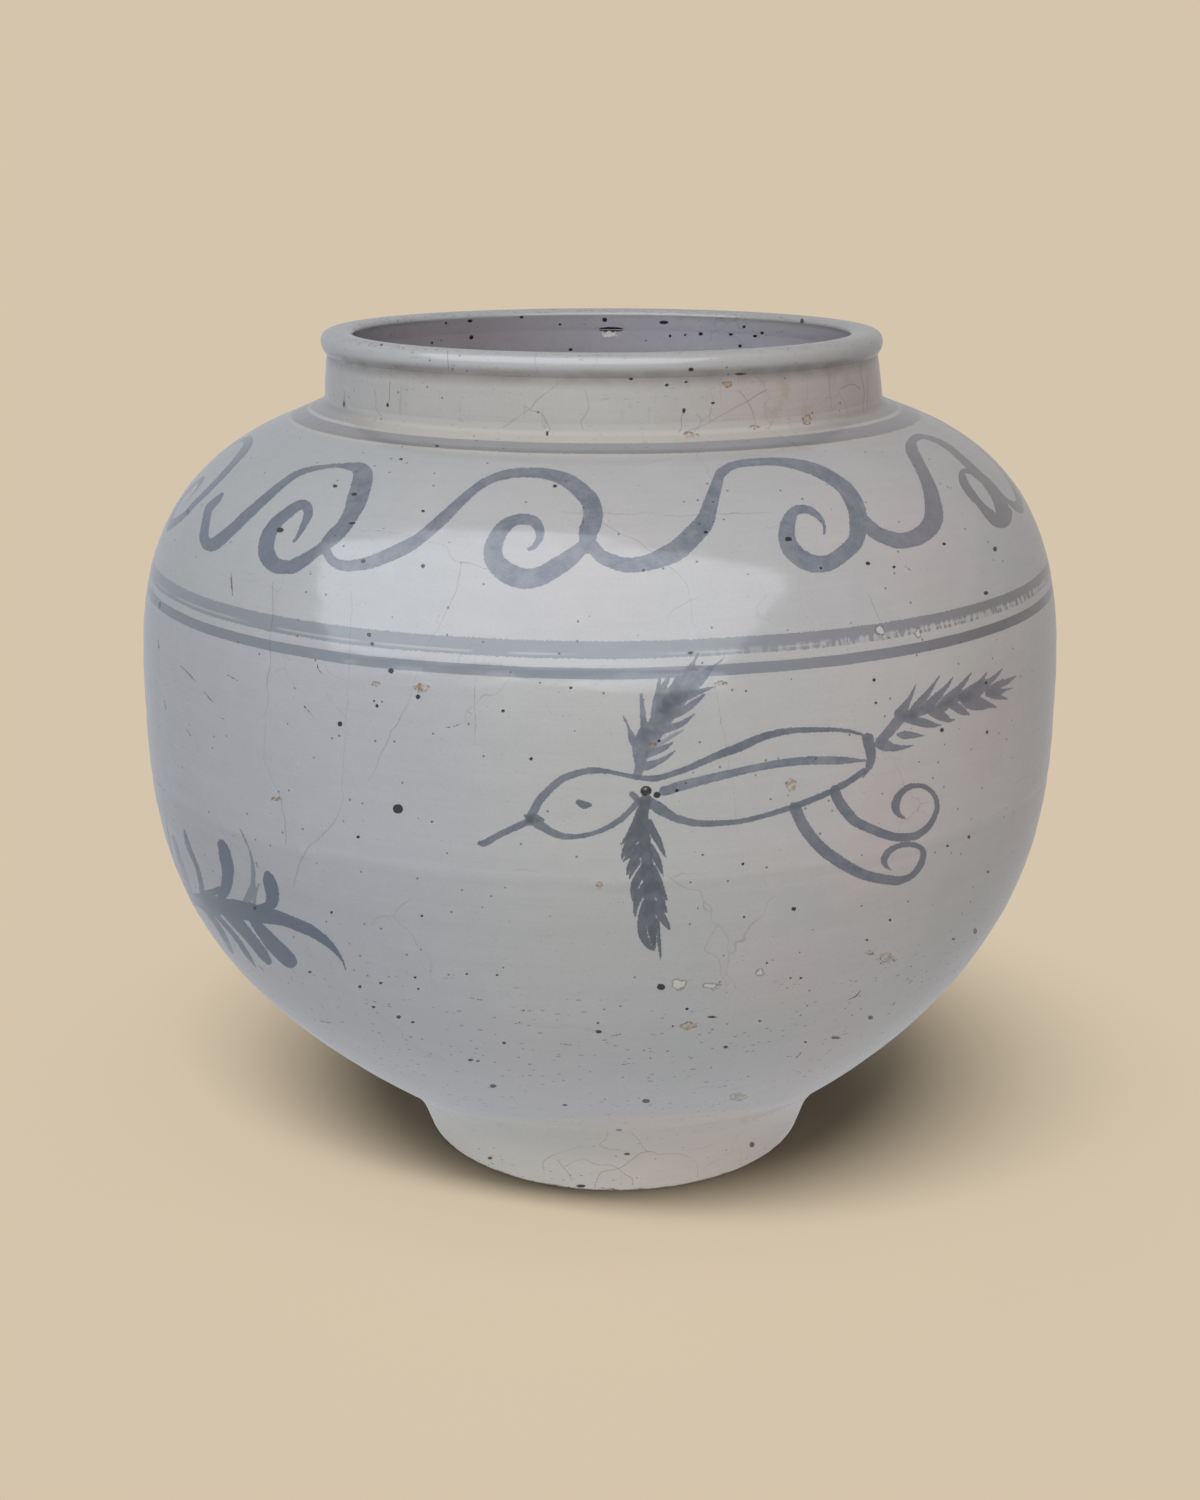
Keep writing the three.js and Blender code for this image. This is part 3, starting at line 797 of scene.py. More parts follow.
def seen(place, facing):
    """Pixels and pixels per millimetre of places in millimetres, and whether they face the camera."""
    away = place - (0, -CAMERA_BACK, CAMERA_UP)
    depth = away[:, 1] * math.cos(CAMERA_PITCH) - away[:, 2] * math.sin(CAMERA_PITCH)
    up = away[:, 1] * math.sin(CAMERA_PITCH) + away[:, 2] * math.cos(CAMERA_PITCH)
    scale = FOCAL_PX / depth
    spot = np.column_stack([PHOTO_WIDTH / 2 + place[:, 0] * scale, PHOTO_HEIGHT / 2 - up * scale])
    return spot, scale, np.einsum("ij,ij->i", away, facing) < 0


def turned(vectors, degrees):
    """Vectors turned about the wheel's axis, to the right as seen from the front."""
    c, s = math.cos(math.radians(degrees)), math.sin(math.radians(degrees))
    x, y, z = vectors.T
    return np.column_stack([x * c - y * s, x * s + y * c, z])


def soft_line(points):
    """A smooth run through listed points, three steps to each."""
    points = np.asarray(points, float)
    if len(points) < 3:
        return points
    padded = np.vstack([2 * points[0] - points[1], points, 2 * points[-1] - points[-2]])
    out = []
    for a, b, c, d in zip(padded, padded[1:], padded[2:], padded[3:]):
        for t in (0, 1 / 3, 2 / 3):
            bend = (2 * a - 5 * b + 4 * c - d) * t**2 + (3 * b - a - 3 * c + d) * t**3
            out.append(b + 0.5 * ((c - a) * t + bend))
    out.append(points[-1])
    return np.array(out)


def stroke_distance(spot, line):
    """Distance in pixels from a stroke's edge, negative inside it, and the place across it."""
    best = np.full(len(spot), np.inf)
    across = np.zeros(len(spot))
    for a, b in zip(line, line[1:]):
        way = b[:2] - a[:2]
        t = np.clip((spot - a[:2]) @ way / max(way @ way, NO_SIZE), 0, 1)
        offset = spot - a[:2] - t[:, None] * way
        far = np.hypot(offset[:, 0], offset[:, 1])
        away = far - (a[2] + (b[2] - a[2]) * t) / 2
        side = np.sign(way[0] * offset[:, 1] - way[1] * offset[:, 0])
        nearer = away < best
        best = np.where(nearer, away, best)
        across = np.where(nearer, far * side, across)
    return best, across


def spots_near(spot, line, margin):
    """Which spots lie in the box round a line of x, y and width."""
    low = line[:, :2].min(0) - margin
    high = line[:, :2].max(0) + margin
    return ((spot > low) & (spot < high)).all(1)


class Paint:
    """What is painted at a set of places: signed distances in millimetres and amounts."""

    def __init__(self, place, facing):
        self.place = place
        self.facing = facing
        self.ink = np.full(len(place), PAINT_REACH)
        self.load = np.zeros(len(place))
        self.nearest_load = np.zeros(len(place))
        self.lane = np.zeros(len(place))

    def add(self, groups, turn=0.0, drop=0.0):
        """Adds groups of strokes, turned round the jar and lowered from where the photograph has them."""
        place = turned(self.place, -turn) + (0, 0, drop)
        spot, scale, in_view = seen(place, turned(self.facing, -turn))
        for load, strokes in groups:
            for stroke in strokes:
                self.add_stroke(soft_line(stroke), load, in_view, spot, scale)

    def add_unrolled(self, groups, turn=0.0):
        """Adds strokes given as degrees round the jar, level and width in millimetres."""
        angle = np.degrees(np.arctan2(self.place[:, 0], -self.place[:, 1])) - turn
        round_way = np.radians((angle + 180) % 360 - 180) * BELLY_RADIUS
        spot = np.column_stack([round_way, self.place[:, 2]])
        ones = np.ones(len(spot))
        for load, strokes in groups:
            for stroke in strokes:
                line = np.array(stroke, float)
                line[:, 0] = np.radians(line[:, 0]) * BELLY_RADIUS
                self.add_stroke(soft_line(line), load, ones > 0, spot, ones)

    def add_stroke(self, line, load, in_view, spot, scale):
        margin = PAINT_REACH * WIDEST_SCALE + line[:, 2].max() / 2
        near = np.flatnonzero(in_view & spots_near(spot, line, margin))
        away, across = stroke_distance(spot[near], line)
        away /= scale[near]
        across /= scale[near]
        laid = load * (1 - smooth(away, *STROKE_EDGE))
        under = self.load[near]
        self.load[near] = np.maximum(under, laid) + OVERLAP * np.minimum(under, laid)
        closer = away < self.ink[near]
        rows = near[closer]
        self.ink[rows] = away[closer]
        self.lane[rows] = across[closer]
        self.nearest_load[rows] = load


def spot_distance(place, facing, spots):
    """Signed distance in millimetres from the nearest of some oval spots."""
    spot, scale, in_view = seen(place, facing)
    best = np.full(len(place), PAINT_REACH)
    for x, y, wide, high in spots:
        offset = (spot - (x, y)) / (wide, high)
        away = (np.hypot(offset[:, 0], offset[:, 1]) - 1) * min(wide, high) / scale
        best = np.where(in_view, np.minimum(best, away), best)
    return best


def line_distance(place, facing, lines):
    """Signed distance in millimetres from the nearest of some thin lines of x, y and width."""
    spot, scale, in_view = seen(place, facing)
    best = np.full(len(place), PAINT_REACH)
    for line in lines:
        curve = soft_line(line)
        near = np.flatnonzero(in_view & spots_near(spot, curve, PAINT_REACH * WIDEST_SCALE))
        best[near] = np.minimum(best[near], stroke_distance(spot[near], curve)[0] / scale[near])
    return best


def paint_at(place, facing, outside, bore):
    """All that is painted or spotted at some places, as named distances and amounts."""
    made = {name: np.full(len(place), PAINT_REACH) for name in DISTANCES}
    made["load"] = np.zeros(len(place))
    made["lane"] = np.zeros(len(place))
    level = place[:, 2]
    rows = np.flatnonzero(outside & (level > LOWEST_PAINT) & (level < HIGHEST_PAINT))
    paint = Paint(place[rows], facing[rows])
    paint.add(BIRD + SPRAY + SCROLLS)
    paint.add(BIRD + SPRAY, BACK_TURN)
    for turn in (0, BACK_TURN):
        paint.add_unrolled(HIDDEN_SPRAY, turn)
    for k in range(UNIT_COPIES):
        paint.add(SCROLL_UNIT, UNIT_FIRST_TURN + k * UNIT_TURN, k * UNIT_DROP)
    made["ink"][rows] = paint.ink
    made["load"][rows] = np.maximum(paint.load, paint.nearest_load)
    made["lane"][rows] = paint.lane
    rows = np.flatnonzero(outside)
    here = (place[rows], facing[rows])
    scratches = line_distance(*here, SCRATCHES) + SCRATCH_THINNER
    made["speck"][rows] = np.minimum(spot_distance(*here, DARK_SPECKS), scratches)
    made["tan"][rows] = spot_distance(*here, TAN_PITS)
    made["pale"][rows] = spot_distance(*here, PALE_PITS)
    made["craze"][rows] = line_distance(*here, HAIRLINES)
    rows = np.flatnonzero(bore)
    made["speck"][rows] = spot_distance(place[rows], facing[rows], BORE_SPECKS)
    made["pale"][rows] = spot_distance(place[rows], facing[rows], BORE_CHIP)
    return made


# Meshes

def cells_of(section):
    """Cells as fine column, fine row and size, halved again and again where paint has an edge."""
    column, row = np.meshgrid(np.arange(AROUND) * FINE, np.arange(len(section.rows) - 1) * FINE)
    column, row = column.ravel(), row.ravel()
    faces = np.array(section.face)
    done = []
    size = FINE
    for step in range(HALVINGS):
        place, facing = section.surface(column + size / 2, row + size / 2)
        face = faces[row // FINE]
        painted = paint_at(place, facing, face == "outside", face == "bore")
        width = size * 2 * math.pi * BELLY_RADIUS / (AROUND * FINE)
        nearest = np.min([np.abs(painted[name]) for name in DISTANCES], axis=0)
        split = nearest < width / 2 + EDGE_MARGIN
        if step >= BACK_HALVINGS:
            split &= place[:, 1] < FRONT_LIMIT
        done.append(np.column_stack([column[~split], row[~split], np.full((~split).sum(), size)]))
        column, row = column[split], row[split]
        size //= 2
        column = np.concatenate([column, column + size, column, column + size])
        row = np.concatenate([row, row, row + size, row + size])
    done.append(np.column_stack([column, row, np.full(len(column), size)]))
    return np.vstack(done)


def polygons_of(section, cells):
    """The cells as polygons that take in every finer neighbour's corner on their edges."""
    columns = AROUND * FINE
    rows = (len(section.rows) - 1) * FINE
    used = np.zeros((columns + 1, rows + 1), bool)
    for over, up in ((0, 0), (1, 0), (1, 1), (0, 1)):
        used[cells[:, 0] + over * cells[:, 2], cells[:, 1] + up * cells[:, 2]] = True
    used[0] |= used[-1]
    used[-1] = used[0]
    if section.closed:
        used[:, 0] |= used[:, -1]
        used[:, -1] = used[:, 0]
    corners, counts = [], []
    for size in np.unique(cells[:, 2]):
        some = cells[cells[:, 2] == size]
        steps = np.arange(size)
        over = np.concatenate([steps, np.full(size, size), size - steps, 0 * steps])
        up = np.concatenate([0 * steps, steps, np.full(size, size), size - steps])
        column = some[:, :1] + over
        row = some[:, 1:2] + up
        keep = used[column, row]
        if section.open_low:
            keep &= (row > 0) | (over == 0)
        if section.open_high:
            keep &= (row < rows) | (over == size)
        middle = np.broadcast_to(some[:, 1:2] + size / 2, column.shape)
        corners.append(np.column_stack([column[keep], row[keep], middle[keep]]))
        counts.append(keep.sum(1))
    return np.vstack(corners), np.concatenate(counts)


def vertices_of(section, corners):
    """The fine column and row of each vertex, and the vertex at each corner."""
    rows = (len(section.rows) - 1) * FINE
    column = corners[:, 0].astype(int) % (AROUND * FINE)
    row = corners[:, 1].astype(int)
    if section.closed:
        row = row % rows
    if section.open_low:
        column = np.where(row == 0, 0, column)
    if section.open_high:
        column = np.where(row == rows, 0, column)
    keys, vertex = np.unique(column * (rows + 1) + row, return_inverse=True)
    return keys // (rows + 1), keys % (rows + 1), vertex


def mesh_of(section):
    """The section's shown mesh, in metres, with its paint as attributes."""
    corners, counts = polygons_of(section, cells_of(section))
    column, row, vertex = vertices_of(section, corners)
    place, facing = section.surface(column.astype(float), row.astype(float))
    faces = np.array(section.face)
    below = faces[np.clip((row - 1) // FINE, 0, len(faces) - 1)]
    above = faces[np.clip(row // FINE, 0, len(faces) - 1)]
    outside = (below == "outside") | (above == "outside")
    painted = paint_at(place, facing, outside, (below == "bore") | (above == "bore"))
    painted["outer"] = outside

    mesh = bpy.data.meshes.new(section.name)
    mesh.vertices.add(len(place))
    mesh.vertices.foreach_set("co", (place * MM).astype(np.float32).ravel())
    mesh.loops.add(len(vertex))
    mesh.loops.foreach_set("vertex_index", vertex.astype(np.int32).ravel())
    mesh.polygons.add(len(counts))
    starts = np.concatenate([[0], np.cumsum(counts)[:-1]])
    mesh.polygons.foreach_set("loop_start", starts.astype(np.int32))
    for name, values in painted.items():
        mesh.attributes.new(name, "FLOAT", "POINT").data.foreach_set("value", values.astype(np.float32))
    add_uv(section, mesh, corners, counts, starts)
    mesh.update(calc_edges=True)
    normals = section.surface(corners[:, 0], corners[:, 1], corners[:, 2])[1]
    mesh.polygons.foreach_set("use_smooth", np.ones(len(counts), bool))
    mesh.normals_split_custom_set(normals.astype(np.float32))
    return mesh


def add_uv(section, mesh, corners, counts, starts):
    """Unrolls the section into strips laid one above another, with most room for the outside."""
    strip_columns = AROUND * FINE // STRIPS
    weight = np.array([1.0 if f != "hidden" else HIDDEN_SHARE for f in section.face])
    room = np.concatenate([[0], np.cumsum(np.diff(section.rows) * weight)])
    height = np.interp(corners[:, 1], np.arange(len(section.rows)) * FINE, room / room[-1])
    lowest = np.minimum.reduceat(corners[:, 0], starts)
    strip = np.repeat(lowest // strip_columns, counts)
    across = corners[:, 0] / strip_columns - strip
    u = STRIP_GAP + across * (1 - 2 * STRIP_GAP)
    v = (strip + STRIP_GAP + height * (1 - 3 * STRIP_GAP)) / STRIPS
    layer = mesh.uv_layers.new(name="OFBake")
    layer.uv.foreach_set("vector", np.column_stack([u, v]).astype(np.float32).ravel())


# Finishes

def tone(red, green, blue):
    """A colour written as 0-255 display values."""
    out = []
    for value in (red, green, blue):
        v = value / 255
        out.append(v / 12.92 if v <= 0.04045 else ((v + 0.055) / 1.055) ** 2.4)
    return (*out, 1)


# the glazes' colours, from left to right where there are several; the body's right-hand tones are warmer
# glaze and are also painted lighter, as painted light and sheen from the right
SHOULDER_TONES = [tone(180, 182, 184), tone(182, 181, 182), tone(187, 184, 184)]
BELLY_TONES = [tone(177, 178, 183), tone(181, 181, 180), tone(194, 188, 186)]
LOW_TONES = [tone(180, 181, 186), tone(182, 182, 184), tone(190, 187, 187)]
PINK_CLOUD = tone(194, 181, 180)
GREEN_CLOUD = tone(179, 181, 173)
LOW_FRONT_TONES = [tone(195, 194, 189), tone(206, 195, 186)]
FOOT_TONES = [tone(211, 208, 201), tone(213, 201, 190)]
BARE_CLAY = tone(150, 138, 120)
KILN_GRIT = tone(70, 62, 54)
NECK_TONES = [tone(182, 182, 182), tone(177, 175, 172), tone(184, 171, 167)]
NECK_STAIN = tone(170, 150, 132)
NECK_RUN = tone(132, 120, 112)
# the bead at the neck's foot: cream glaze, painted lighter as a painted highlight from above
BEAD_HIGHLIGHT_CREAM = tone(194, 191, 184)
SIDE_BEAD = tone(142, 136, 134)
# the ledge's cream is partly painted highlight along the bead
LEDGE_TONES = [tone(194, 191, 184), tone(190, 184, 178)]
LIP_TONES = [tone(184, 185, 187), tone(181, 179, 178)]
WORN = tone(138, 128, 122)
# painted shade in the groove under the lip
UNDER_LIP_SHADE = tone(132, 125, 122)
# the inside of the mouth: painted lighter than the glaze outside, most at its far left and right, as
# painted light inside the mouth
BORE_TONES = [tone(182, 176, 182), tone(204, 204, 215)]
LEFT_BORE_LIGHT = tone(212, 206, 211)
RIGHT_BORE_LIGHT = tone(222, 219, 228)

# pigment of the strokes, the two lines round the belly and the ledge's line
THIN_INK = [tone(102, 110, 124), tone(131, 134, 143)]
THICK_INK = tone(82, 86, 93)
LEFT_INK = tone(98, 111, 127)
LOW_LEFT_INK = tone(88, 101, 118)
RIGHT_INK = tone(128, 121, 127)
BAND_INK = [tone(130, 135, 144), tone(134, 133, 139)]
LEFT_BAND_INK = tone(133, 141, 148)
RIGHT_BAND_INK = tone(120, 118, 121)
LEDGE_INK = [tone(148, 149, 153), tone(130, 131, 137)]
SIDE_LEDGE_INK = tone(136, 133, 136)

# cracks, stains, specks and pits
GRIT = tone(108, 102, 98)
CRACK = tone(112, 100, 92)
OCHRE = tone(166, 136, 96)
BROWN = tone(98, 80, 62)
PINHOLE = tone(84, 78, 74)
FLECK = tone(98, 92, 90)
IRON = tone(26, 25, 26)
PIT_RIM = tone(92, 86, 80)
PIT_FLOOR = tone(203, 200, 190)
CHIP = tone(250, 247, 240)

GLAZE_IOR = 1.5
COAT_WEIGHT = 0.5
COAT_ROUGHNESS = 0.08
PIT_DEPTH = 0.12
# a brushed line's soft edge, its slow waver and its bristle marks, and where a round mark fades
LINE_SOFTNESS = 0.15
WAVER_SIZE = 45
BRISTLE_SIZE = 0.9
DOT_EDGE = (1.1, 0.7)
UNDER_SEAM_DARKER = 0.07


class Nodes:
    """A node tree whose nodes are added and linked by short calls."""

    def __init__(self, tree):
        self.tree = tree

    def node(self, kind, inputs=None, **settings):
        made = self.tree.nodes.new(kind)
        for key, value in settings.items():
            setattr(made, key, value)
        for key, value in (inputs or {}).items():
            self.feed(made.inputs[key], value)
        return made

    def feed(self, socket, value):
        if isinstance(value, bpy.types.NodeSocket):
            self.tree.links.new(value, socket)
        else:
            socket.default_value = value

    def math(self, operation, a, b=0.0):
        return self.node("ShaderNodeMath", {0: a, 1: b}, operation=operation).outputs[0]

    def times(self, *factors):
        out = factors[0]
        for factor in factors[1:]:
            out = self.math("MULTIPLY", out, factor)
        return out

    def plus(self, *terms):
        out = terms[0]
        for term in terms[1:]:
            out = self.math("ADD", out, term)
        return out

    def ease(self, value, low, high):
        """0 at low and 1 at high, eased. high may be below low."""
        inputs = {"Value": value, "From Min": low, "From Max": high}
        return self.node("ShaderNodeMapRange", inputs, interpolation_type="SMOOTHSTEP").outputs["Result"]

    def blend(self, factor, a, b):
        return self.node("ShaderNodeMix", {0: factor, 6: a, 7: b}, data_type="RGBA").outputs[2]


class Finish(Nodes):
    """A glaze's nodes. Places, sizes and depths in it are millimetres."""

    def __init__(self, name):
        self.material = bpy.data.materials.new(name)
        self.material.use_nodes = True
        super().__init__(self.material.node_tree)
        self.tree.nodes.clear()
        self.place = self.scaled(self.node("ShaderNodeTexCoord").outputs["Object"], 1 / MM)
        self.x, _, self.z = self.node("ShaderNodeSeparateXYZ", {"Vector": self.place}).outputs

    def scaled(self, colour, value):
        """A colour or place times a number."""
        if isinstance(colour, tuple):
            colour = colour[:3]
        inputs = {0: colour, "Scale": value}
        return self.node("ShaderNodeVectorMath", inputs, operation="SCALE").outputs[0]

    def stretched(self, x=1.0, y=1.0, z=1.0, shift=0.0):
        """The place with its axes scaled, and moved aside so that two noises don't repeat each other."""
        inputs = {0: self.place, 1: (x, y, z), 2: (shift, shift * 1.7, shift * 0.6)}
        return self.node("ShaderNodeVectorMath", inputs, operation="MULTIPLY_ADD").outputs[0]

    def noise(self, size, where=None, detail=2.0, rough=0.5):
        """Soft noise from about 0.25 to 0.75, with features of a size in millimetres."""
        inputs = {"Vector": where or self.place, "Scale": 1 / size, "Detail": detail, "Roughness": rough}
        return self.node("ShaderNodeTexNoise", inputs).outputs["Fac"]

    def swing(self, size, amount, where=None, detail=2.0, rough=0.5):
        """Noise about 0, times an amount."""
        return self.times(self.plus(self.noise(size, where, detail, rough), -0.5), amount)

    def patches(self, size, low, high, detail=2.0, rough=0.5, **where):
        """0 to 1 in soft patches of a size, which low and high make larger or rarer."""
        return self.ease(self.noise(size, self.stretched(**where), detail, rough), low, high)

    def cells(self, size, where, feature="F1"):
        return self.node("ShaderNodeTexVoronoi", {"Vector": where, "Scale": 1 / size}, feature=feature)

    def attribute(self, name):
        return self.node("ShaderNodeAttribute", attribute_name=name).outputs["Fac"]

    def dots(self, size, radius, share, flat=1.0):
        """Small round marks in some cells of a size, as 1 inside and 0 outside. flat squashes them."""
        cells = self.cells(size, self.stretched(z=flat, shift=size))
        draw = self.node("ShaderNodeSeparateColor", {0: cells.outputs["Color"]}).outputs[0]
        rim, full = (edge * radius / size for edge in DOT_EDGE)
        mark = self.ease(cells.outputs["Distance"], rim, full)
        return self.times(self.math("LESS_THAN", draw, share), mark)

    def zone(self, low, high, waver, bristle=0.4):
        """A brushed line between two levels, with a slow waver and bristle marks."""
        fine = self.swing(BRISTLE_SIZE, bristle, detail=3)
        above = self.plus(self.z, self.swing(WAVER_SIZE, waver), fine)
        start = self.ease(above, low - LINE_SOFTNESS, low + LINE_SOFTNESS)
        return self.times(start, self.ease(above, high + LINE_SOFTNESS, high - LINE_SOFTNESS))

    def shade(self, colour, roughness, height):
        """The glossy surface itself."""
        normal = self.node("ShaderNodeBump", {"Height": height, "Distance": MM}).outputs["Normal"]
        shader = self.node("ShaderNodeBsdfPrincipled", {
            "Base Color": colour, "Roughness": roughness, "IOR": GLAZE_IOR, "Normal": normal,
            "Coat Weight": COAT_WEIGHT, "Coat Roughness": COAT_ROUGHNESS, "Coat Normal": normal,
        })
        self.node("ShaderNodeOutputMaterial", {"Surface": shader.outputs["BSDF"]})
        return self.material


def grained(f, colour):
    """Fine cloudiness, the faint level streaks of the turning, and grit."""
    streaks = f.swing(1.3, 0.09, f.stretched(0.04, 0.04, 1), detail=3, rough=0.6)
    clouds = f.plus(1, f.swing(9, 0.1, detail=4, rough=0.6), f.swing(0.8, 0.14), streaks)
    grit = f.times(f.dots(2.6, 0.26, 0.5), f.patches(30, 0.42, 0.6, shift=60), 0.5)
    return f.blend(grit, f.scaled(colour, clouds), GRIT)


def across(f, left, middle, right):
    """A colour that goes from the left over the middle to the right."""
    colour = f.blend(f.ease(f.x, -80, -10), left, middle)
    return f.blend(f.ease(f.x, 20, 140), colour, right)


def body_ground(f):
    """Blue-grey glaze on the left, warmer on the right, with pink and green clouds there. The right side is
    also painted lighter as painted light, and the shoulder's top as painted light from above.
    """
    colour = f.blend(f.ease(f.z, 264, 240), across(f, *SHOULDER_TONES), across(f, *BELLY_TONES))
    colour = f.blend(f.ease(f.z, 150, 85), colour, across(f, *LOW_TONES))
    under_seam = f.plus(-UNDER_SEAM_DARKER, f.times(f.ease(f.z, 165, 110), UNDER_SEAM_DARKER))
    under_seam = f.times(under_seam, f.ease(f.z, SEAM + 2, SEAM - 3))
    # painted light: the shoulder's top is painted a little lighter, as light from above
    top = f.times(f.ease(f.z, 272, 292), 0.03)
    bottom = f.times(f.ease(f.z, 110, 62), 0.12)
    colour = f.scaled(colour, f.plus(1, top, under_seam, bottom))
    pink = f.times(f.patches(70, 0.46, 0.62, shift=40, detail=1), f.ease(f.x, -60, 140))
    pink = f.times(pink, f.plus(0.3, f.times(f.ease(f.z, 262, 238), 0.3)))
    colour = f.blend(pink, colour, PINK_CLOUD)
    green = f.times(f.patches(60, 0.5, 0.66, shift=95, detail=1), f.ease(f.x, -20, 90), 0.3)
    return grained(f, f.blend(green, colour, GREEN_CLOUD))


def with_craze(f, colour):
    """Fine cracks: the hand-read ones and a faint wide net of others."""
    patchy = f.plus(0.35, f.times(f.patches(26, 0.4, 0.6, shift=31), 0.65))
    drawn = f.times(f.ease(f.attribute("craze"), 0.3, 0.04), patchy)
    wander = f.node("ShaderNodeTexNoise", {"Vector": f.place, "Scale": 0.05}).outputs["Color"]
    inputs = {0: wander, 1: (22, 22, 22), 2: f.place}
    bent = f.node("ShaderNodeVectorMath", inputs, operation="MULTIPLY_ADD").outputs[0]
    net = f.ease(f.cells(64, bent, "DISTANCE_TO_EDGE").outputs["Distance"], 0.004, 0.001)
    net = f.times(net, f.patches(50, 0.5, 0.62, shift=7), 0.5)
    cracks = f.math("MAXIMUM", drawn, net)
    return f.blend(f.times(cracks, 0.48), colour, CRACK), cracks


def with_marks(f, colour, dashes):
    """Stains, shallow pits, iron specks and pinholes. Also gives how deep they are."""
    rough = f.swing(1.9, 1, detail=3)
    tan = f.plus(f.attribute("tan"), f.times(rough, 2.4))
    stain = f.times(f.ease(tan, 0.5, -0.4), f.patches(1.6, 0.38, 0.6, detail=3), 0.8)
    colour = f.blend(stain, colour, OCHRE)
    rim = f.times(f.ease(tan, 0.5, 0.1), f.ease(tan, -0.5, 0), f.patches(1.2, 0.46, 0.56, shift=9), 0.7)
    colour = f.blend(rim, colour, BROWN)
    pins = f.dots(6, 0.5, 0.8)
    colour = f.blend(f.times(pins, 0.7), colour, PINHOLE)
    flecks = f.math("MAXIMUM", f.dots(4.3, 0.75, 0.6, flat=2.8), f.dots(7.7, 1.2, 0.5, flat=3.4))
    flecks = f.times(flecks, f.patches(19, 0.43, 0.53, z=2), dashes)
    colour = f.blend(f.times(flecks, 0.62), colour, FLECK)
    speck = f.ease(f.plus(f.attribute("speck"), f.swing(0.7, 0.5)), 0.2, -0.08)
    colour = f.blend(f.times(speck, 0.96), colour, IRON)
    pale = f.plus(f.attribute("pale"), f.times(rough, 2.6))
    ring = f.times(f.ease(pale, 0.45, 0.1), f.ease(pale, -0.4, -0.05), f.attribute("outer"), 0.5)
    pit = f.ease(pale, 0, -0.4)
    colour = f.blend(ring, colour, PIT_RIM)
    colour = f.blend(f.times(pit, 0.85), colour, f.blend(f.attribute("outer"), CHIP, PIT_FLOOR))
    return colour, f.plus(speck, f.times(pins, 0.5), f.times(flecks, 0.4), pit)


def with_brushwork(f, colour):
    """The painted bird, spray and scrolls, with bristle streaks and pooled pigment."""
    mask = f.ease(f.plus(f.attribute("ink"), f.swing(1.1, 0.9, detail=3, rough=0.6)), 0.16, -0.16)
    load = f.attribute("load")
    lane = {"X": f.times(f.attribute("lane"), 1.6), "Y": f.times(f.z, 0.05)}
    bristles = f.noise(1, f.node("ShaderNodeCombineXYZ", lane).outputs[0])
    pigment = f.blend(f.patches(6, 0.3, 0.7, detail=5, rough=0.65), *THIN_INK)
    pigment = f.blend(f.times(f.ease(f.x, 70, 150), 0.8), pigment, RIGHT_INK)
    pigment = f.blend(f.times(f.ease(f.x, -70, -130), 0.7), pigment, LEFT_INK)
    low_left = f.times(f.ease(f.x, -60, -90), f.ease(f.z, 215, 200), 0.9)
    pigment = f.blend(low_left, pigment, LOW_LEFT_INK)
    pigment = f.blend(f.ease(load, 0.85, 1.45), pigment, THICK_INK)
    grain = f.noise(0.7, detail=3, rough=0.6)
    pigment = f.scaled(pigment, f.plus(0.75, f.times(bristles, 0.24), f.times(grain, 0.26)))
    return f.blend(f.times(mask, f.ease(load, 0.1, 0.85), 0.96), colour, pigment)


def with_bands(f, colour):
    """The two lines drawn round the belly: the upper one was drawn twice and dry on its lower edge."""
    outer = f.attribute("outer")
    right = f.ease(f.x, 0, 110)
    pigment = f.blend(right, *BAND_INK)
    pigment = f.blend(f.ease(f.x, -20, -120), pigment, LEFT_BAND_INK)
    pigment = f.blend(f.ease(f.x, 90, 150), pigment, RIGHT_BAND_INK)
    mottle = f.noise(5, f.stretched(0.3, 0.3, 1), detail=5, rough=0.65)
    pigment = f.scaled(pigment, f.plus(0.9, f.times(mottle, 0.2)))
    low, high = UPPER_BAND
    dry = f.times(f.ease(f.z, low + 3, low + 1.6), f.patches(2, 0.42, 0.56, z=0.3, detail=3), right, -0.9)
    gap = f.ease(f.math("ABSOLUTE", f.plus(f.z, -low - 1.4)), 0.6, 0.2)
    gap = f.times(gap, f.patches(30, 0.42, 0.56, shift=3), -0.55)
    upper = f.times(f.zone(low, high, 1.0, 1.3), f.plus(1, dry), f.plus(1, gap), outer, 0.86)
    colour = f.blend(upper, colour, pigment)
    sides = f.times(f.ease(f.math("ABSOLUTE", f.x), 60, 150), -0.15)
    lower = f.times(f.zone(*LOWER_BAND, 0.9), outer, 0.94)
    return f.blend(lower, colour, f.scaled(pigment, f.plus(1, sides)))


def surface_height(f, depth, waves):
    """Ripples, orange peel and pits of the glaze."""
    wave = f.times(f.noise(26, f.stretched(z=1.6)), waves)
    return f.plus(wave, f.times(f.noise(2.6), 0.03), f.times(depth, -PIT_DEPTH))


def sheen(f):
    return f.plus(0.11, f.times(f.noise(22, detail=3), 0.08))


def glazed(f, colour, dashes, waves):
    """Cracks, marks and gloss over a coloured ground."""
    colour, cracks = with_craze(f, colour)
    colour, depth = with_marks(f, colour, dashes)
    return f.shade(colour, sheen(f), surface_height(f, f.plus(depth, f.times(cracks, 0.2)), waves))


def foot_tint(f):
    return f.blend(f.ease(f.x, -40, 60), *FOOT_TONES)


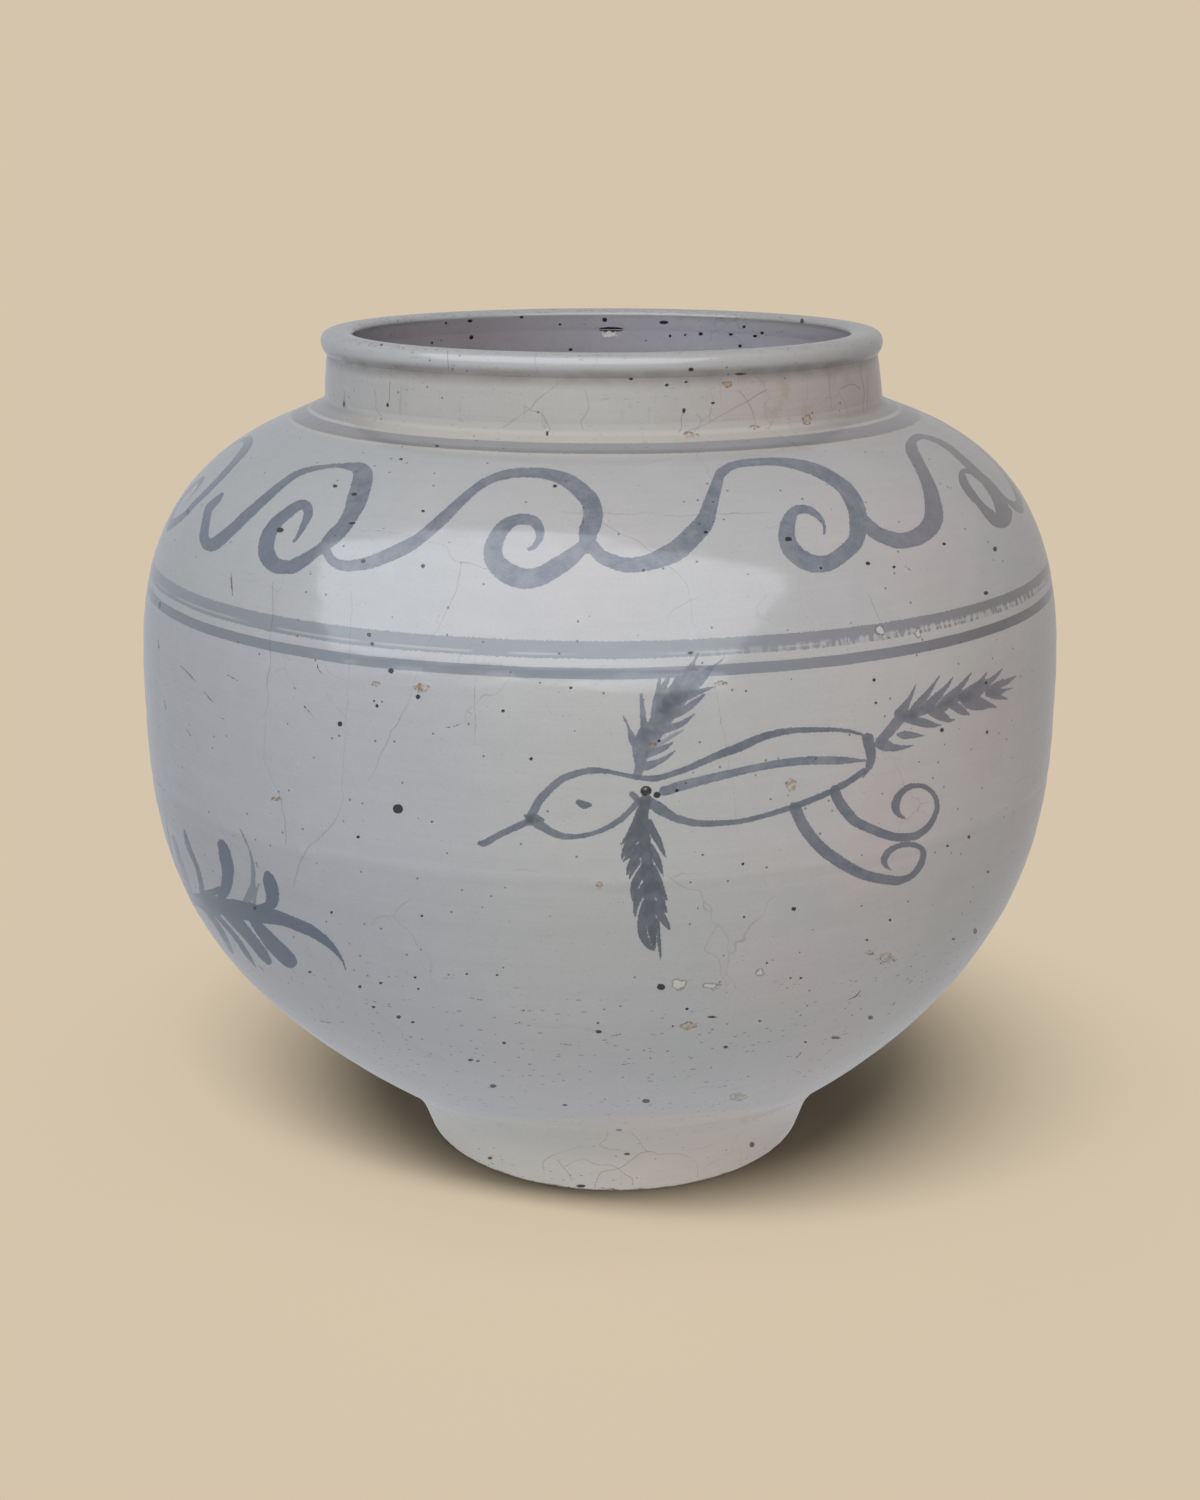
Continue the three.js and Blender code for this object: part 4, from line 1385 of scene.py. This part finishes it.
def with_foot_tint(f, colour):
    """A lighter, warmer colour low on the front above the foot, under a line that curves down towards the
    sides.
    """
    low_front_line = f.plus(f.z, f.times(f.x, f.x, 0.0036), f.times(f.x, -0.1), f.times(f.noise(20), 5))
    warm = f.times(f.ease(low_front_line, 65, 60), f.attribute("outer"))
    tint = f.blend(f.ease(f.x, -40, 60), *LOW_FRONT_TONES)
    tint = f.blend(f.ease(f.z, FOOT_TOP + 22, FOOT_TOP), tint, foot_tint(f))
    return f.blend(warm, colour, grained(f, tint))


def body_glaze():
    """Clear glaze over the painted clay of both bowls."""
    f = Finish("body_glaze")
    colour = with_brushwork(f, with_bands(f, body_ground(f)))
    dashes = f.times(f.ease(f.z, 44, 60), f.ease(f.z, 150, 115))
    return glazed(f, with_foot_tint(f, colour), dashes, 0.3)


def foot_glaze():
    """Thin warm glaze, crazed, with grit on the bare resting edge."""
    f = Finish("foot_glaze")
    colour = with_craze(f, grained(f, foot_tint(f)))[0]
    bare = f.ease(f.plus(f.z, f.times(f.noise(7, detail=4), 3)), 2.9, 1.9)
    grit = f.times(bare, f.patches(1.8, 0.5, 0.62, detail=5, rough=0.7))
    colour = f.blend(grit, f.blend(bare, colour, BARE_CLAY), KILN_GRIT)
    colour, depth = with_marks(f, colour, 1.0)
    roughness = f.plus(sheen(f), f.times(bare, 0.6))
    return f.shade(colour, roughness, surface_height(f, f.plus(depth, f.times(grit, -1)), 0.3))


def with_bore(f, colour):
    """The inside of the mouth, lilac-grey on the left and bluish on the right, painted lighter than the
    glaze outside as painted light inside the mouth, most at its far left and right.
    """
    tint = f.blend(f.ease(f.x, -70, 80), *BORE_TONES)
    tint = f.blend(f.ease(f.x, -50, -95), tint, LEFT_BORE_LIGHT)
    tint = f.blend(f.ease(f.x, 60, 100), tint, RIGHT_BORE_LIGHT)
    tint = f.scaled(tint, f.plus(0.93, f.times(f.noise(7, detail=5, rough=0.65), 0.14)))
    inside = f.plus(1, f.times(f.attribute("outer"), -1))
    return f.blend(inside, colour, grained(f, tint))


def with_under_lip_shade(f, colour):
    """Painted shade in the soft groove under the lip, in patches."""
    groove = f.times(f.ease(f.z, LIP - 5, LIP), f.ease(f.z, LIP + 4.2, LIP + 1.4), f.attribute("outer"))
    patchy = f.plus(0.7, f.times(f.patches(9, 0.35, 0.65, detail=4), 0.3))
    return f.blend(f.times(groove, patchy, 0.75), colour, UNDER_LIP_SHADE)


def far_sides(f, reach):
    """1 at both sides of the neck and 0 at its front."""
    return f.math("MAXIMUM", f.ease(f.x, -70, -reach), f.ease(f.x, 60, reach))


def neck_ground(f):
    """Grey-green on the left, cream in the middle, stained brown and pink on the right."""
    left, middle, right = NECK_TONES
    colour = f.blend(f.ease(f.x, -110, -40), left, middle)
    colour = f.blend(f.ease(f.x, 20, 85), colour, right)
    stain = f.times(f.patches(14, 0.5, 0.66, detail=3), f.ease(f.x, 10, 70), 0.5)
    return grained(f, f.blend(stain, colour, NECK_STAIN))


def neck_glaze():
    """The neck's glaze, with brown cracks and drips."""
    f = Finish("neck_glaze")
    outer = f.attribute("outer")
    # painted highlight: the bead at the neck's foot is painted cream and lighter, for light from above
    bead_highlight = f.times(f.ease(f.z, NECK + 2.2, NECK + 0.6), outer)
    colour = f.blend(bead_highlight, neck_ground(f), BEAD_HIGHLIGHT_CREAM)
    colour = f.blend(f.times(f.ease(f.z, NECK + 4, NECK + 1.5), far_sides(f, 105), 0.7), colour, SIDE_BEAD)
    runs = f.times(f.patches(3, 0.62, 0.72, z=0.08), outer, 0.2)
    colour = f.blend(runs, colour, NECK_RUN)
    return glazed(f, with_bore(f, with_under_lip_shade(f, colour)), 0.3, 0.14)


def ledge_glaze():
    """Cream against the neck, partly painted highlight along the bead, and a thin blue-grey line, darkest
    along its lower edge.
    """
    f = Finish("ledge_glaze")
    colour = grained(f, f.blend(f.ease(f.x, -60, 90), *LEDGE_TONES))
    low, high = SHOULDER + LEDGE_BAND[0], SHOULDER + LEDGE_BAND[1]
    sides = far_sides(f, 108)
    pigment = f.blend(f.ease(f.z, low + 1.3, low + 0.5), *LEDGE_INK)
    pigment = f.blend(f.times(sides, 0.8), pigment, SIDE_LEDGE_INK)
    pigment = f.scaled(pigment, f.plus(0.9, f.times(f.noise(5, detail=5, rough=0.65), 0.2)))
    upper_line = f.times(f.zone(NECK - 1, NECK + 1, 0.6), sides, 0.8)
    cover = f.math("MAXIMUM", f.times(f.zone(low, high, 0.5), 0.9), upper_line)
    colour = f.blend(f.times(cover, f.attribute("outer")), colour, pigment)
    return glazed(f, with_bore(f, colour), 0.3, 0.1)


def lip_glaze():
    """The lip's glaze, worn and speckled along its inner edge."""
    f = Finish("lip_glaze")
    colour = grained(f, f.blend(f.ease(f.x, -90, 110), *LIP_TONES))
    worn = f.times(f.ease(f.z, TOP - 2.5, TOP - 0.6), f.patches(2.2, 0.5, 0.62, detail=5, rough=0.7))
    worn = f.times(worn, f.plus(0.35, f.times(f.ease(f.x, -40, -90), 0.55)))
    colour = with_under_lip_shade(f, f.blend(worn, colour, WORN))
    return glazed(f, with_bore(f, colour), 0.5, 0.14)


def dress(section, material):
    """Makes a section's shown piece, which stands for its CAD node."""
    piece = bpy.data.objects.new(section.name, mesh_of(section))
    bpy.context.collection.objects.link(piece)
    piece.data.materials.append(material)
    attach(piece, "root")
    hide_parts(section.node)
    return piece


# Studio

# Each lamp: degrees round the jar, degrees up, distance, width and height in metres, and strength.
FRONT_LAMP = (-8, 8, 3, (2.4, 1.6), 0.4)
TOP_LAMP = (-8, 60, 3, (2.4, 1.8), 0.58)
SUN_LAMP = (-16, 52, 12, (9, 1.5), 3.5)
WINDOW_LAMP = (-19, 42, 3.65, (8.9, 4.6), 2.054)
WINDOW_COLOUR = (0.84, 0.89, 1)
# the level that the lamps look at, in metres
MIDDLE = 0.19

# the backdrop, and what the glaze mirrors on both sides
BACKGROUND = tone(213, 197, 172)
LEFT_SURROUNDINGS = (0.46, 0.485, 0.53, 1)
RIGHT_SURROUNDINGS = (0.40, 0.385, 0.37, 1)
WORLD_REACH = 0.7
FLOOR_MIRROR_REACH = 0.8
# how bright the world and the floor are for the light that they give
SKY_LEVEL = 0.1
FLOOR_LEVEL = 0.5
# the shaded floor: its share of the backdrop's colour, how much of it shows, and where it ends
FLOOR_SHARE = 0.31
FLOOR_SHADED = 0.985
FLOOR_FADE = (0.097, 0.32)
FLOOR_REACH = 6


def add_camera():
    data = bpy.data.cameras.new("camera")
    data.lens = FOCAL_PX / max(PHOTO_WIDTH, PHOTO_HEIGHT) * SENSOR_MM
    data.sensor_width = SENSOR_MM
    camera = bpy.data.objects.new("camera", data)
    camera.location = (0, -CAMERA_BACK * MM, CAMERA_UP * MM)
    camera.rotation_euler = (math.pi / 2 - CAMERA_PITCH, 0, 0)
    bpy.context.collection.objects.link(camera)
    bpy.context.scene.camera = camera


def add_light(name, azimuth, elevation, distance, size, strength):
    """A soft panel that looks at the jar's middle. Strength 1 shows a white surface facing it as white."""
    data = bpy.data.lights.new(name, "AREA")
    data.shape = "RECTANGLE"
    data.size, data.size_y = size
    data.energy = strength * (math.pi * distance) ** 2
    light = bpy.data.objects.new(name, data)
    a, e = math.radians(azimuth), math.radians(elevation)
    away = Vector((math.sin(a) * math.cos(e), -math.cos(a) * math.cos(e), math.sin(e)))
    light.location = away * distance + Vector((0, 0, MIDDLE))
    light.rotation_euler = away.to_track_quat("Z", "Y").to_euler()
    light.visible_camera = False
    light.visible_glossy = False
    bpy.context.collection.objects.link(light)
    return light


def light_only(light, name, objects):
    """Links a lamp to some objects, so that it lights nothing else."""
    receivers = bpy.data.collections.new(name)
    for thing in objects:
        receivers.objects.link(thing)
    light.light_linking.receiver_collection = receivers


def add_window(pieces):
    """A wide panel that is seen only as the sheen on the glaze of some pieces."""
    window = add_light("window", *WINDOW_LAMP)
    window.data.color = WINDOW_COLOUR
    window.visible_diffuse = False
    window.visible_glossy = True
    light_only(window, "window_receivers", pieces)


def surroundings(f, place, reach):
    """What the glaze mirrors: bluish on the left, dimmer and warm on the right."""
    across = f.node("ShaderNodeSeparateXYZ", {0: place}).outputs["X"]
    return f.blend(f.ease(across, -reach, reach), LEFT_SURROUNDINGS, RIGHT_SURROUNDINGS)


def by_ray(f, diffuse, glossy, camera):
    """A colour that differs for diffuse, glossy and camera rays."""
    path = f.node("ShaderNodeLightPath").outputs
    colour = f.blend(path["Is Glossy Ray"], (diffuse, diffuse, diffuse, 1), glossy)
    return f.blend(path["Is Camera Ray"], colour, camera)


def add_studio():
    add_light("front", *FRONT_LAMP)
    add_light("top", *TOP_LAMP)
    world = bpy.data.worlds.new("studio")
    world.use_nodes = True
    f = Nodes(world.node_tree)
    direction = f.node("ShaderNodeTexCoord").outputs["Generated"]
    colour = by_ray(f, SKY_LEVEL, surroundings(f, direction, WORLD_REACH), BACKGROUND)
    f.feed(f.tree.nodes["Background"].inputs["Color"], colour)
    bpy.context.scene.world = world


def floor_material():
    """Plain tan near the jar, where it takes the shadow, running into the backdrop's colour."""
    material = bpy.data.materials.new("studio_floor")
    material.use_nodes = True
    f = Nodes(material.node_tree)
    f.tree.nodes.clear()
    place = f.node("ShaderNodeTexCoord").outputs["Object"]
    away = f.node("ShaderNodeVectorMath", {0: place}, operation="LENGTH").outputs["Value"]
    near = f.ease(away, FLOOR_FADE[1], FLOOR_FADE[0])
    shaded = f.times(near, FLOOR_SHADED, f.node("ShaderNodeLightPath").outputs["Is Camera Ray"])
    colour = by_ray(f, FLOOR_LEVEL, surroundings(f, place, FLOOR_MIRROR_REACH), BACKGROUND)
    plain = f.node("ShaderNodeEmission", {"Color": colour}).outputs["Emission"]
    tan = (*(c * FLOOR_SHARE for c in BACKGROUND[:3]), 1)
    matte = f.node("ShaderNodeBsdfDiffuse", {"Color": tan}).outputs["BSDF"]
    mix = f.node("ShaderNodeMixShader", {0: shaded, 1: plain, 2: matte}).outputs["Shader"]
    f.node("ShaderNodeOutputMaterial", {"Surface": mix})
    return material


def add_floor():
    """The floor, and the wide soft lamp that casts the jar's shadow on it alone."""
    reach = FLOOR_REACH
    corners = [(-reach, -reach, 0), (reach, -reach, 0), (reach, reach, 0), (-reach, reach, 0)]
    mesh = bpy.data.meshes.new("studio_floor")
    mesh.from_pydata(corners, [], [(0, 1, 2, 3)])
    mesh.materials.append(floor_material())
    floor = bpy.data.objects.new("studio_floor", mesh)
    bpy.context.collection.objects.link(floor)
    light_only(add_light("floor_sun", *SUN_LAMP), "only_floor", [floor])


add_camera()
add_studio()
add_floor()
outer_line = body_outline()
inner_line = inset(outer_line, WALL)
bowl_glaze = body_glaze()
foot = dress(foot_section(), foot_glaze())
lower_bowl = dress(lower_section(outer_line, inner_line), bowl_glaze)
upper_bowl = dress(upper_section(outer_line, inner_line), bowl_glaze)
ledge = dress(ring_section(), ledge_glaze())
dress(collar_section(), neck_glaze())
lip = dress(lip_section(), lip_glaze())
add_window([foot, lower_bowl, upper_bowl, ledge, lip])

bpy.context.scene.view_settings.view_transform = "Standard"
